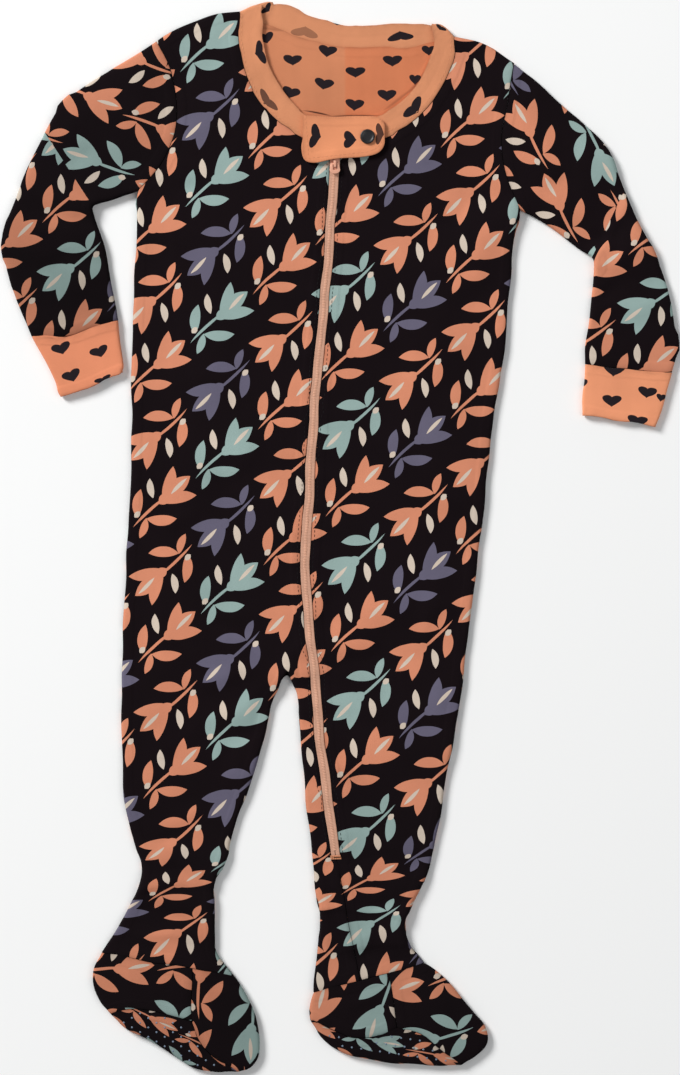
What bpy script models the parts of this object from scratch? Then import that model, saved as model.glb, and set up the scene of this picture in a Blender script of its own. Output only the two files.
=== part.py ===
# A baby's footed one-piece pajama with long sleeves and a zip, laid flat and face up.
# +X is to the viewer's right, +Y to the neck and +Z up; the cloth rests on z = 0.
# Tables and sizes are in millimetres, and the meshes are made in metres.
# "Right" and "left" in the pieces' names are the wearer's.

import math
from collections import namedtuple

import bpy

MM = 0.001

# Cloth, seams and edges
WALL = 1.2  # jersey panel
CUFF_WALL = 1.6  # doubled jersey
BAND_WALL = 2.0  # folded neckband, and the zip guard
FACING_WALL = 1.0
SEAM_GAP = 0.3  # between neighbouring pieces
ROLL = 2.1  # radius that a panel turns through at the garment's outline
ROLL_TURNS = (0, 45)  # degrees round that turn; the flat of the panel begins at 90
SHARP = 50  # degrees between two faces that meet in a hard edge
TUBE = ROLL + SEAM_GAP / 2  # the same radius where one piece goes all the way round
CUFF_TUBE = TUBE + 0.2
BAND_TUBE = 2.4
UNDER_FOLD = 0.55  # share of a fold's height that the underside of the cloth follows
FOLD_END = 1.4  # length over which a fold runs out, as a share of its width
FLOOR_FOLD = -0.2  # share by which the layer on the floor is padded under a fold

# Zip, slider, pull tab, guard and snap
ZIP_HALF = 3.25  # half the width of both tapes
ZIP_TOP = 273.5
ZIP_END = -209.3
ZIP_CLOSING = 2.0  # length over which the fronts meet below the zip
NECK_Y = 256.5  # where the neckband's seam meets the zip
TAPE_RISE = 1.8  # from the outline's mid height to the tape's top
OPEN_HALF = 0.65  # half the gap between the tapes at the slider and above it
OPENING = 10.0  # length below the slider over which they part
SLIDER_LENGTH = 9.0
SLIDER_Y = 240.0  # lower end
SLIDER_HALF = 3.3
SLIDER_PLATES = (1.55, 2.65, 4.55, 6.0)  # under plate and top plate, bottom and top
SLIDER_EDGE = 0.7  # its rounded edges
POST_HALF = 0.45
POST_SET_BACK = 0.6  # from both ends of the slider
OVERLAP = 0.5  # depth by which the slider's solids run into each other before they are joined
HINGE_Y = 244.5
HINGE_Z = 6.7
BRIDGE_HALF = 0.8
BRIDGE_LENGTH = 4.2
BRIDGE_TOP = 8.2
BRIDGE_BAR = 0.75
PULL_LENGTH = 6.4  # below the hinge
PULL_HALF = 3.5
PULL_THICK = 0.9
PULL_NECK = ((0.62, 0.0), (0.78, 1.2))  # half width as a share, and depth below the top
PULL_ROUND = 0.75  # height of its round end, as a share of its half width
PULL_ARC = 8  # steps round that end
PULL_WINDOW = (2.6, 3.4)  # width and length of the opening round the bridge
GUARD_LIFT = 5.15  # underside, clear of the neckband
SLIDER_BUMP = (-3.3, 246.5, 9.0, 1.35)  # x, y, reach and height of the guard over the slider
SNAP_AT = (17.4, 262.3)
SNAP_RADIUS = 4.8
SNAP_THICK = 1.5
SNAP_PROFILE = ((1.0, 0.0), (1.0, 0.55), (0.88, 0.85), (0.6, 1.0))  # shares of radius and height
SNAP_SIDES = 24

# Counts of cells
YOKE_ZIP_ROWS = 3
TORSO_ROWS = 22
BACK_ROWS = 12
LEG_ROWS = 13
ZIP_LEG_ROWS = 9
SEAM_LEG_ROWS = 6
RIGHT_COLUMNS = 7
LEFT_COLUMNS = 7
BACK_HALF_COLUMNS = 5

# Where the garment's middle and the crotch lie in the tables
MIDDLE = (-0.8, 0.34)
CROTCH = (-36, -92)
CROTCH_ROW = CROTCH[1] + ROLL

# Edges of the garment seen from above: y and x, from the armpit down
SIDE_RIGHT = (
    (226.3, -133), (150, -136), (105, -137.5), (46, -137.5), (7, -139.5), (-42, -142), (-90, -143.5),
    (-150, -143.5), (-180, -141), (-199, -136), (-219, -130.5), (-232, -133.5), (-248, -142),
    (-272, -156.8),
)
SIDE_LEFT = (
    (213.9, 117.2), (193, 113), (154, 109), (115, 105), (76, 99), (36, 95), (-3, 90), (-42, 85), (-82, 80.5),
    (-121, 76), (-150, 70), (-180, 65.5), (-204, 60.5), (-219, 57), (-239, 47.8), (-250, 42.5),
    (-260, 42), (-268, 46), (-279, 54.5),
)
INSEAM_RIGHT = (
    (-92, -36), (-101, -42), (-121, -48.5), (-160, -60), (-190, -70.3), (-210, -74.5), (-229, -83.5),
    (-250, -82), (-268, -82.5), (-278, -77), (-287, -70),
)
INSEAM_LEFT = (
    (-92, -36), (-101, -31), (-111, -28), (-125, -27), (-160, -24), (-199, -20), (-219, -18),
    (-232, -17), (-248, -13.4), (-268, -15.7), (-297.7, -17.7),
)
# Middle line of the zip, and of the seam that goes on below it: y and x
ZIP_LINE = (
    (273.5, -2.6), (256.5, -3.3), (227.6, -5.2), (199.4, -7.2), (152.3, -11.1), (112.3, -15), (72.4, -18.3),
    (25.2, -21), (-14.7, -23.4), (-42.2, -22.3), (-80.9, -18.3), (-101.2, -16.4), (-134.6, -13.5),
    (-173.9, -8.2), (-198.8, -4.6), (-209.3, -3.3), (-237.4, 2.6), (-257, 5.9), (-290, 12.1),
)

# Armhole seams from the shoulder to the armpit, and the way in which each leaves the armpit: x and y
ARMHOLE_RIGHT = ((-120.5, 325.2), (-110.7, 303), (-108, 271.5), (-115.3, 249.2), (-133, 226.3))
ARMHOLE_LEFT = ((114, 310.8), (112, 303.6), (105.5, 261.7), (107.4, 239.4), (117.2, 213.9))
ARMPIT_RIGHT = (0.61, 0.79)
ARMPIT_LEFT = (-0.42, 0.91)

# Shoulders from the armhole to the neckband's seam
SHOULDER_RIGHT = ((-120.5, 325.2), (-106.8, 333.7), (-88.4, 341), (-66.2, 345))
SHOULDER_LEFT = ((114, 310.8), (96.9, 320.6), (85.8, 325.5), (74.7, 328.2))

# The neckband: where it is sewn on and where its free edge lies, from the zip to the shoulder
Band = namedtuple("Band", "seam_x seam_y free_x free_y")
BAND_RIGHT = (
    Band(-25.5, 262, -22, 276.2), Band(-43.2, 274.8, -33.4, 287.4), Band(-54.4, 286.6, -42, 299.7),
    Band(-60.9, 301, -47, 310), Band(-64.8, 312.8, -50, 320), Band(-67.6, 326, -51.6, 331),
    Band(-66.2, 345, -44.5, 351.6),
)
BAND_LEFT = (
    Band(30.1, 262.3, 24.5, 276.2), Band(47, 272.5, 38, 284.4), Band(57.5, 282.5, 46, 291.5),
    Band(64.5, 292.5, 52, 300), Band(70, 304, 57, 312), Band(74, 316, 61.3, 325),
    Band(74.7, 328.2, 60.3, 338),
)
BAND_BACK = (
    Band(-48, 335.6, -33.5, 348.6), Band(-27, 326.8, -18, 341), Band(-4, 321.6, 0, 335.9),
    Band(20, 320, 18, 335), Band(43, 320.3, 37, 336.6),
)
FOLD_BULGE = 1.5  # of the band's edge where it turns over the shoulder
BAND_SHARES = (0, 0.36, 0.72, 1)

# The facing inside the back of the neck: its lower edge, under the front neckband
FACING_EDGE = ((-56, 328), (-52, 303), (-38, 281), (-15, 269), (9, 267), (35, 275), (54, 292), (65, 316))
FACING_COLUMNS = 6
FACING_ROWS = 4
FACING_ENDS = (0.04, 0.96)  # share of the back band's seam that it reaches along

# The guard over the zip's top end: a row for each column across it
Guard = namedtuple("Guard", "x low high")
GUARD = (
    Guard(-25.1, 249.5, 276.3), Guard(-22.6, 246, 276.3), Guard(-16, 245.2, 276),
    Guard(-9.5, 246.6, 275.6), Guard(-3.3, 247.6, 275.4), Guard(3, 248.2, 275.8),
    Guard(10, 248.6, 276), Guard(18, 249.6, 275.8), Guard(24.5, 251.8, 275.2),
    Guard(28.2, 256.5, 271),
)
GUARD_ROWS = 5

# Sleeves and cuffs, from the shoulder to the hand: outer edge and under-arm edge
Section = namedtuple("Section", "outer_x outer_y inner_x inner_y")
SLEEVE_RIGHT = (
    Section(-143.4, 311.5, -138.2, 225), Section(-164.4, 298.4, -144.8, 223),
    Section(-182.7, 286.6, -151.3, 221), Section(-191.9, 269.5, -157.9, 219.1),
    Section(-199.8, 253.8, -162.4, 216.6),
    Section(-207, 239.4, -161.1, 209.6), Section(-214.2, 221.1, -158.5, 201.8),
    Section(-221, 203.4, -155.2, 192.2), Section(-223.2, 187.5, -152.6, 180.5),
    Section(-217.8, 169, -150, 166), Section(-210.3, 149.7, -148, 153), Section(-203, 132, -146, 141.8),
)
CUFF_RIGHT = (
    Section(-195.8, 118.2, -144.8, 130.7), Section(-189.3, 105.1, -143.4, 119.5),
    Section(-182.4, 91.4, -141.5, 107),
)
SLEEVE_LEFT = (
    Section(130.3, 297, 126.4, 209.9), Section(144.8, 283.3, 134.3, 205.4),
    Section(158.5, 271.5, 142.1, 200.1), Section(169.6, 261, 150, 194.2),
    Section(176.9, 249.2, 157.9, 188.3), Section(182.7, 234.2, 165.1, 183.2),
    Section(190, 218.4, 165.9, 176), Section(197.2, 203.4, 165.7, 168),
    Section(205.7, 187, 164.4, 158.8),
    Section(211.6, 168.7, 163.1, 148.4), Section(216.2, 150.3, 161.8, 137.2),
    Section(221.6, 127.5, 160.5, 125.4), Section(217, 109.5, 159.8, 113),
)
CUFF_LEFT = (
    Section(212.9, 96.6, 159.2, 102.5), Section(209.6, 85.5, 157.9, 91.4),
    Section(205.5, 72.6, 158.3, 79.2),
)
BOW_SECTIONS = 4  # sections over which a sleeve loses the armhole's curve
SLEEVE_COLUMNS = 10

# Feet. The heel lies below the ankle seam, the vamp on the toe's side and the sole under both.
# The edges run down from the ankle seam's two ends, and the sole's edge from heel to toe.
Foot = namedtuple(
    "Foot", "ankle heel_edge toe_edge sole_edge heel_seam toe_seam vamp_corner heel_way toe_way"
)
FOOT_RIGHT = Foot(
    ankle=((-156.8, -272), (-70, -287)),
    heel_edge=((-161, -280), (-163, -288), (-161.5, -298), (-156, -307.5), (-151, -313)),
    toe_edge=(
        (-62.9, -297.7), (-58.3, -307.5), (-55, -317), (-53, -327.2), (-52.4, -335.7),
        (-55.4, -343.6), (-61.5, -349), (-68.8, -350.8),
    ),
    sole_edge=((-145.3, -319.8), (-129.7, -328), (-112, -338), (-98.9, -346.2), (-88, -350.3)),
    heel_seam=((-134, -308.5), (-115.3, -311.5)),
    toe_seam=((-93.7, -328), (-84.5, -340)),
    vamp_corner=(-97.6, -316),
    heel_way=(0.8, 0.6),
    toe_way=(-0.5, 0.86),
)
FOOT_LEFT = Foot(
    ankle=((-17.7, -297.7), (54.5, -279)),
    heel_edge=((-20, -304), (-21.2, -310.8), (-20.2, -317)),
    toe_edge=(
        (67.5, -288), (76.6, -297.7), (83.5, -307), (92, -316.8), (96.2, -324.8), (95.3, -333),
        (89, -340.2), (79, -346.6),
    ),
    sole_edge=((-13, -327.8), (-5.5, -334), (10, -340.6), (27.5, -344.3), (45, -345), (63, -346.3)),
    heel_seam=((-6, -322), (8, -327.5), (23, -327)),
    toe_seam=((50, -323.5), (64, -334)),
    vamp_corner=(37, -320),
    heel_way=(0.9, 0.42),
    toe_way=(-0.6, 0.8),
)
ANKLE_SHARE = 0.68  # of the ankle seam, from the heel, where the vamp begins
HEEL_COLUMNS = 4
VAMP_COLUMNS = 3
HEEL_ROWS = 4
VAMP_ROWS = 8
SOLE_ROWS = 2

# The largest folds, each a soft ridge between two points
Fold = namedtuple("Fold", "x0 y0 x1 y1 height width")
SLEEVE_FOLDS = (
    Fold(165.7, 183.7, 203, 200, 2.4, 8), Fold(169.6, 165, 206, 180, 1.5, 8),
    Fold(143, 205, 170, 244, 1.7, 9), Fold(120, 262, 148, 246, 1.3, 11),
    Fold(-161, 216, -208, 228, 2.2, 9), Fold(-154, 190, -212, 188, 1.5, 9),
    Fold(-140, 300, -178, 262, 1.4, 12),
)
TORSO_FOLDS = (
    Fold(-131, 224, -82, 180, 2.0, 11), Fold(114, 212, 62, 175, 2.0, 11),
    Fold(-84, 128, -98, 20, 1.3, 14), Fold(58, 120, 66, 26, 1.4, 14),
    Fold(-128, 48, -52, 62, 1.1, 11), Fold(14, 196, 30, 132, 1.1, 12),
    Fold(36, 40, 30, -30, 1.0, 12), Fold(-112, -8, -104, -60, 1.1, 12),
    Fold(-41, -86, -100, -66, 2.2, 11), Fold(-8, -78, 40, -40, 1.9, 11),
)
LEG_FOLDS = (
    Fold(-137, -166, -70, -152, 1.2, 11), Fold(4, -147, 66, -136, 1.2, 11),
    Fold(-124, -208, -82, -214, 1.3, 9), Fold(-5, -226, 46, -232, 1.4, 9),
    Fold(-130, -232, -88, -238, 2.2, 8), Fold(-10, -248, 40, -254, 2.2, 8),
)
FOLDS = (*SLEEVE_FOLDS, *TORSO_FOLDS, *LEG_FOLDS)
# The feet keep some of their roundness
Dome = namedtuple("Dome", "x y half_length half_width angle height")
DOMES = (Dome(-108, -308, 72, 46, -28, 4.0), Dome(34, -312, 72, 44, -20, 4.0))

# Colours: red, green, blue, roughness and metallic
NIGHT = (0.011, 0.007, 0.010, 0.85, 0.0)
CORAL = (0.76, 0.27, 0.14, 0.85, 0.0)
TAPE_COLOUR = (0.60, 0.33, 0.21, 0.7, 0.0)
PAINTED = (0.74, 0.30, 0.18, 0.35, 0.6)
SNAP_BLACK = (0.012, 0.010, 0.012, 0.3, 0.0)

# A point of a panel: where it lies seen from above, how far round the outline's turn it is
# in degrees (90 on the flat), and the way into the garment there.
Spot = namedtuple("Spot", "x y turn way_x way_y")

# A layer of cloth: above (1) or below (-1) its centre height, which the outline's turn goes
# round with this radius; its wall, the rise of its folds, and the share that its inside follows.
Layer = namedtuple("Layer", "side centre radius wall rise share")


def along(table, y):
    """x of an edge at a height y, by a smooth curve through the table's rows."""
    rows = sorted(table)
    y = min(max(y, rows[0][0]), rows[-1][0])
    i = next(n for n in range(len(rows) - 1) if y <= rows[n + 1][0])

    def slope(n):
        low, high = max(n - 1, 0), min(n + 1, len(rows) - 1)
        return (rows[high][1] - rows[low][1]) / (rows[high][0] - rows[low][0])

    (y0, x0), (y1, x1) = rows[i], rows[i + 1]
    span = y1 - y0
    t = (y - y0) / span
    return (
        (2 * t**3 - 3 * t**2 + 1) * x0
        + (t**3 - 2 * t**2 + t) * span * slope(i)
        + (3 * t**2 - 2 * t**3) * x1
        + (t**3 - t**2) * span * slope(i + 1)
    )


def mix(a, b, t):
    return tuple(p + (q - p) * t for p, q in zip(a, b))


def distance(a, b):
    return math.hypot(b[0] - a[0], b[1] - a[1])


def unit(v):
    size = math.hypot(*v)
    return (v[0] / size, v[1] / size)


def moved(point, way, amount):
    return (point[0] + way[0] * amount, point[1] + way[1] * amount)


def smooth(points, steps=14):
    """A dense curve through the points."""
    line = []
    ends = [points[0], *points, points[-1]]
    for i in range(len(points) - 1):
        a, b, c, d = ends[i : i + 4]
        for n in range(steps):
            t = n / steps
            line.append(
                tuple(
                    b[k]
                    + t * (c[k] - a[k]) / 2
                    + t * t * (2 * a[k] - 5 * b[k] + 4 * c[k] - d[k]) / 2
                    + t**3 * (3 * b[k] - a[k] - 3 * c[k] + d[k]) / 2
                    for k in (0, 1)
                )
            )
    return line + [tuple(points[-1])]


def at_shares(points, shares):
    """Points on the smooth curve at these shares of its length."""
    line = smooth(points)
    reach = [0.0]
    for a, b in zip(line, line[1:]):
        reach.append(reach[-1] + distance(a, b))
    found = []
    for share in shares:
        target = share * reach[-1]
        i = next((n for n in range(len(line) - 1) if target <= reach[n + 1]), len(line) - 2)
        found.append(mix(line[i], line[i + 1], (target - reach[i]) / (reach[i + 1] - reach[i])))
    found[0] = tuple(points[0]) if shares[0] == 0 else found[0]
    found[-1] = tuple(points[-1]) if shares[-1] == 1 else found[-1]
    return found


def spaced(points, count):
    return at_shares(points, even(count))


def even(count):
    return [n / count for n in range(count + 1)]


def fold_rise(x, y):
    """Height of the folds and of the rounded feet above the flat cloth."""
    total = 0.0
    for fold in FOLDS:
        run = (fold.x1 - fold.x0, fold.y1 - fold.y0)
        length = math.hypot(*run)
        along_it = ((x - fold.x0) * run[0] + (y - fold.y0) * run[1]) / length
        aside = ((x - fold.x0) * run[1] - (y - fold.y0) * run[0]) / length
        beyond = max(0.0, -along_it, along_it - length) / FOLD_END
        total += fold.height * math.exp(-(aside**2 + beyond**2) / fold.width**2)
    for dome in DOMES:
        angle = math.radians(dome.angle)
        forward = (x - dome.x) * math.cos(angle) + (y - dome.y) * math.sin(angle)
        aside = (y - dome.y) * math.cos(angle) - (x - dome.x) * math.sin(angle)
        inside = 1 - (forward / dome.half_length) ** 2 - (aside / dome.half_width) ** 2
        total += dome.height * max(0.0, inside) ** 1.5
    return total


def no_rise(x, y):
    return 0.0


def guard_rise(x, y):
    """The guard follows the neckband's folds and humps over the slider."""
    bump_x, bump_y, reach, height = SLIDER_BUMP
    away = distance((x, y), (bump_x, bump_y)) / reach
    return fold_rise(x, y) + height * math.exp(-(away**4))


FRONT = Layer(1, ROLL + SEAM_GAP, ROLL, WALL, fold_rise, UNDER_FOLD)
BACK = Layer(-1, ROLL, ROLL, WALL, fold_rise, FLOOR_FOLD)
TUBE_TOP = Layer(1, TUBE, TUBE, WALL, fold_rise, UNDER_FOLD)
TUBE_FLOOR = Layer(-1, TUBE, TUBE, WALL, fold_rise, FLOOR_FOLD)
CUFF_TOP = Layer(1, CUFF_TUBE, CUFF_TUBE, CUFF_WALL, fold_rise, UNDER_FOLD)
CUFF_FLOOR = Layer(-1, CUFF_TUBE, CUFF_TUBE, CUFF_WALL, fold_rise, FLOOR_FOLD)
BAND_TOP = Layer(1, BAND_TUBE, BAND_TUBE, BAND_WALL, fold_rise, UNDER_FOLD)
BAND_FLOOR = Layer(-1, BAND_TUBE, BAND_TUBE, BAND_WALL, fold_rise, 0.0)
TAPE = Layer(1, ROLL + SEAM_GAP, TAPE_RISE, WALL, fold_rise, UNDER_FOLD)
FACING = Layer(1, 0.0, WALL + SEAM_GAP + FACING_WALL, FACING_WALL, no_rise, 0.0)
GUARD_LAYER = Layer(1, 0.0, GUARD_LIFT + BAND_WALL, BAND_WALL, guard_rise, 1.0)


def flat(point):
    return Spot(point[0], point[1], 90, 0.0, 0.0)


def turned(point, way):
    """The spots of an outline's turn, from its outermost point inwards."""
    spots = []
    for turn in ROLL_TURNS:
        x, y = moved(point, way, ROLL * (1 - math.cos(math.radians(turn))))
        spots.append(Spot(x, y, turn, way[0], way[1]))
    return spots


def inset(point, way):
    return moved(point, way, ROLL)


def edge_spot(table, y, inward):
    """A point on a side edge and the way into the cloth there; inward is 1 or -1 along X."""
    reach = 2.0
    top, bottom = table[0][0], table[-1][0]
    high, low = min(y + reach, max(top, bottom)), max(y - reach, min(top, bottom))
    lean = (along(table, high) - along(table, low)) / (high - low)
    return (along(table, y), y), unit((inward, -inward * lean))


def heights(spot, layer):
    """A spot's outer and inner points."""
    up = math.sin(math.radians(spot.turn))
    out = math.cos(math.radians(spot.turn))
    rise = layer.rise(spot.x, spot.y)
    above = rise if layer.side > 0 else 0.0
    outer_z = layer.centre + layer.side * (layer.radius + above) * up
    inner_z = layer.centre + layer.side * (layer.radius - layer.wall + layer.share * rise) * up
    inner_x, inner_y = moved((spot.x, spot.y), (spot.way_x, spot.way_y), layer.wall * out)
    return (spot.x, spot.y, outer_z), (inner_x, inner_y, inner_z)


def plan_area(corners):
    pairs = zip(corners, corners[1:] + corners[:1])
    return sum(a[0] * b[1] - b[0] * a[1] for a, b in pairs) / 2


class Cloth:
    """A wall of cloth, gathered from patches of spots and closed round its edges."""

    def __init__(self):
        self.index = {}
        self.outer = []
        self.inner = []
        self.turns = []
        self.faces = []

    def vertex(self, spot, layer):
        outer, inner = heights(spot, layer)
        key = tuple(round(value, 3) for value in outer)
        if key not in self.index:
            self.index[key] = len(self.outer)
            self.outer.append(outer)
            self.inner.append(inner)
            self.turns.append(spot.turn)
        return self.index[key]

    def patch(self, rows, layer):
        grid = [[self.vertex(spot, layer) for spot in row] for row in rows]
        for upper, lower in zip(grid, grid[1:]):
            for i in range(len(upper) - 1):
                around = (upper[i], lower[i], lower[i + 1], upper[i + 1])
                corners = [v for n, v in enumerate(around) if v != around[n - 1]]
                if len(set(corners)) < 3:
                    continue
                if plan_area([self.outer[v] for v in corners]) * layer.side < 0:
                    corners.reverse()
                self.faces.append(corners)

    def rim(self):
        """Directed edges of the outer faces that no other face shares."""
        edges = {}
        for face in self.faces:
            for a, b in zip(face, face[1:] + face[:1]):
                edges[(a, b)] = face
        return {edge: face for edge, face in edges.items() if (edge[1], edge[0]) not in edges}

    def shrink(self):
        """Draws each seam back by half the gap between pieces."""
        pulls = {}
        for (a, b), face in self.rim().items():
            if self.turns[a] == 0 and self.turns[b] == 0:
                continue
            run = (self.outer[b][0] - self.outer[a][0], self.outer[b][1] - self.outer[a][1])
            if math.hypot(*run) < 1e-6:
                continue
            way = unit((-run[1], run[0]))
            middle = [sum(self.outer[v][k] for v in face) / len(face) for k in (0, 1)]
            towards = (middle[0] - self.outer[a][0], middle[1] - self.outer[a][1])
            if way[0] * towards[0] + way[1] * towards[1] < 0:
                way = (-way[0], -way[1])
            for v in (a, b):
                pulls.setdefault(v, []).append(way)
        for v, ways in pulls.items():
            total = (sum(w[0] for w in ways), sum(w[1] for w in ways))
            together = max(1 + ways[0][0] * ways[-1][0] + ways[0][1] * ways[-1][1], 0.5)
            scale = SEAM_GAP / 2 / (together if len(ways) > 1 else 1)
            for points in (self.outer, self.inner):
                x, y, z = points[v]
                points[v] = (x + total[0] * scale, y + total[1] * scale, z)

    def mesh(self, name):
        self.shrink()
        count = len(self.outer)
        inside = [[v + count for v in reversed(face)] for face in self.faces]
        rims = [(b, a, a + count, b + count) for a, b in self.rim()]
        return new_mesh(name, self.outer + self.inner, self.faces + inside + rims)


def new_mesh(name, points, faces):
    mesh = bpy.data.meshes.new(name)
    placed = [((x - MIDDLE[0]) * MM, (y - MIDDLE[1]) * MM, z * MM) for x, y, z in points]
    mesh.from_pydata(placed, [], [tuple(face) for face in faces])
    mesh.update()
    return mesh


def material(name, colour):
    found = bpy.data.materials.get(name)
    if found:
        return found
    made = bpy.data.materials.new(name)
    made.use_nodes = True
    shader = made.node_tree.nodes["Principled BSDF"]
    shader.inputs["Base Color"].default_value = (*colour[:3], 1.0)
    shader.inputs["Roughness"].default_value = colour[3]
    shader.inputs["Metallic"].default_value = colour[4]
    return made


def add(name, mesh, material_name, colour):
    mesh.materials.append(material(material_name, colour))
    mesh.shade_smooth()
    mesh.set_sharp_from_angle(angle=math.radians(SHARP))
    part = bpy.data.objects.new(name, mesh)
    bpy.context.scene.collection.objects.link(part)
    return part


def add_cloth(name, patches, material_name, colour):
    cloth = Cloth()
    for rows, layer in patches:
        cloth.patch(rows, layer)
    return add(name, cloth.mesh(name), material_name, colour)


def coons(low, high, first, last):
    """A grid between four edges: low and high run across, first and last run from low to high."""
    rows = []
    for i in range(len(first)):
        v = i / (len(first) - 1)
        row = []
        for j in range(len(low)):
            u = j / (len(low) - 1)
            point = [
                (1 - v) * low[j][k] + v * high[j][k] + (1 - u) * first[i][k] + u * last[i][k]
                - (1 - u) * (1 - v) * low[0][k] - u * (1 - v) * low[-1][k]
                - (1 - u) * v * high[0][k] - u * v * high[-1][k]
                for k in (0, 1)
            ]
            row.append(tuple(point))
        row[0], row[-1] = first[i], last[i]
        rows.append(row)
    rows[0], rows[-1] = list(low), list(high)
    return [[flat(point) for point in row] for row in rows]


# Shoulders and neck, shared by the fronts, the back, the sleeves and the neckband

Side = namedtuple("Side", "sign edge armpit armhole shoulder band")
RIGHT = Side(-1, SIDE_RIGHT, ARMPIT_RIGHT, ARMHOLE_RIGHT, SHOULDER_RIGHT, BAND_RIGHT)
LEFT = Side(1, SIDE_LEFT, ARMPIT_LEFT, ARMHOLE_LEFT, SHOULDER_LEFT, BAND_LEFT)
YOKE_ROWS = YOKE_ZIP_ROWS + len(BAND_RIGHT)


def shoulder_way(side):
    """Into the garment from the shoulder's outline."""
    start, end = side.shoulder[0], side.shoulder[-1]
    run = unit((end[0] - start[0], end[1] - start[1]))
    return (run[1], -run[0]) if side.sign < 0 else (-run[1], run[0])


def armhole_line(side):
    """The seam from the armpit up to the shoulder, between the outline's turns."""
    shoulder = inset(side.armhole[0], shoulder_way(side))
    armpit = inset(side.armhole[-1], side.armpit)
    return spaced([armpit, *reversed(side.armhole[1:-1]), shoulder], YOKE_ROWS)


def zip_edge(side, y):
    half = ZIP_HALF if y >= ZIP_END - 0.01 else 0.0
    return (along(ZIP_LINE, y) + side.sign * half, y)


def armpit_y(side):
    return side.edge[0][0]


def zip_rows():
    """Heights at which the rows of panels meet the zip, from the armpits to the crotch."""
    start = (armpit_y(RIGHT) + armpit_y(LEFT)) / 2
    return [start + (CROTCH_ROW - start) * share for share in even(TORSO_ROWS)]


def neck_line(side):
    """The front's inner edge from the armpits' row up the zip and round the neck."""
    start = zip_rows()[0]
    rows = [zip_edge(side, start + (NECK_Y - start) * share) for share in even(YOKE_ZIP_ROWS)]
    neck = [(band.seam_x, band.seam_y) for band in side.band]
    neck[-1] = inset(neck[-1], shoulder_way(side))
    return rows + neck


def row_between(first, last, shares):
    return [mix(first, last, share) for share in shares]


def front_shares(side):
    """Columns of a front, from its side to the zip; the wearer's right has one at the crotch."""
    if side.sign > 0:
        return even(LEFT_COLUMNS)
    (x, y), way = edge_spot(side.edge, CROTCH_ROW, 1)
    start, end = inset((x, y), way), zip_edge(side, CROTCH_ROW)
    crotch = (CROTCH[0] - start[0]) / (end[0] - start[0])
    return [crotch * share for share in even(RIGHT_COLUMNS)] + [1]


def shoulder_patches(side, shares, layer):
    """The shoulder's top row, and the turn over the outline."""
    way = shoulder_way(side)
    outline = at_shares(side.shoulder, shares)
    rows = [[turned(point, way)[n] for point in outline] for n in range(len(ROLL_TURNS))]
    top = [inset(point, way) for point in outline]
    return top, [([[flat(point) for point in top], *reversed(rows)], layer)]


def front_rows(side):
    """The torso's rows from the armpit to the crotch, each with its turn and its flat."""
    shares = front_shares(side)
    rows = []
    for n, zip_y in enumerate(zip_rows()):
        y = armpit_y(side) + (CROTCH_ROW - armpit_y(side)) * n / TORSO_ROWS
        point, way = edge_spot(side.edge, y, -side.sign)
        way = side.armpit if n == 0 else way
        across = row_between(inset(point, way), zip_edge(side, zip_y), shares)
        rows.append(turned(point, way) + [flat(p) for p in across])
    return rows


def yoke_patches(side):
    shares = front_shares(side)
    top, shoulder = shoulder_patches(side, shares, FRONT)
    low = [(spot.x, spot.y) for spot in front_rows(side)[0][len(ROLL_TURNS) :]]
    return [(coons(low, top, armhole_line(side), neck_line(side)), FRONT), *shoulder]


def leg_rows(table, start, end, count, inward):
    """Edge points down a leg's side, with the way into it; the last one lies along the ankle seam."""
    return [edge_spot(table, start + (end - start) * share, inward) for share in even(count)[1:]]


def leg_grid(first_row, outer, inner, shares):
    """Rows of a leg between its two turned edges."""
    rows = [first_row]
    for (left, left_way), (right, right_way) in zip(outer, inner):
        across = row_between(inset(left, left_way), inset(right, right_way), shares)
        rows.append(turned(left, left_way) + [flat(p) for p in across] + turned(right, right_way)[::-1])
    return rows


def ankle_ways(foot):
    """Along the ankle seam from each of its ends."""
    start, end = foot.ankle
    way = unit((end[0] - start[0], end[1] - start[1]))
    return way, (-way[0], -way[1])


def crotch_turn():
    return turned(CROTCH, (0.0, 1.0))


def right_leg_edges():
    """Both edges of the leg on the wearer's right, below the crotch's row."""
    first, last = ankle_ways(FOOT_RIGHT)
    outer = leg_rows(SIDE_RIGHT, CROTCH_ROW, FOOT_RIGHT.ankle[0][1], LEG_ROWS, 1)
    inner = leg_rows(INSEAM_RIGHT, CROTCH[1], FOOT_RIGHT.ankle[1][1], LEG_ROWS, -1)
    outer[-1] = (FOOT_RIGHT.ankle[0], first)
    inner[-1] = (FOOT_RIGHT.ankle[1], last)
    return outer, inner


def left_leg_heights():
    """Rows of the leg with the zip: heights on the zip's line."""
    ankle = ZIP_LINE[-1][0]
    zipped = [CROTCH_ROW + (ZIP_END - CROTCH_ROW) * share for share in even(ZIP_LEG_ROWS)]
    closed = ZIP_END - ZIP_CLOSING
    return zipped + [closed + (ankle - closed) * share for share in even(SEAM_LEG_ROWS)]


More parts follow.
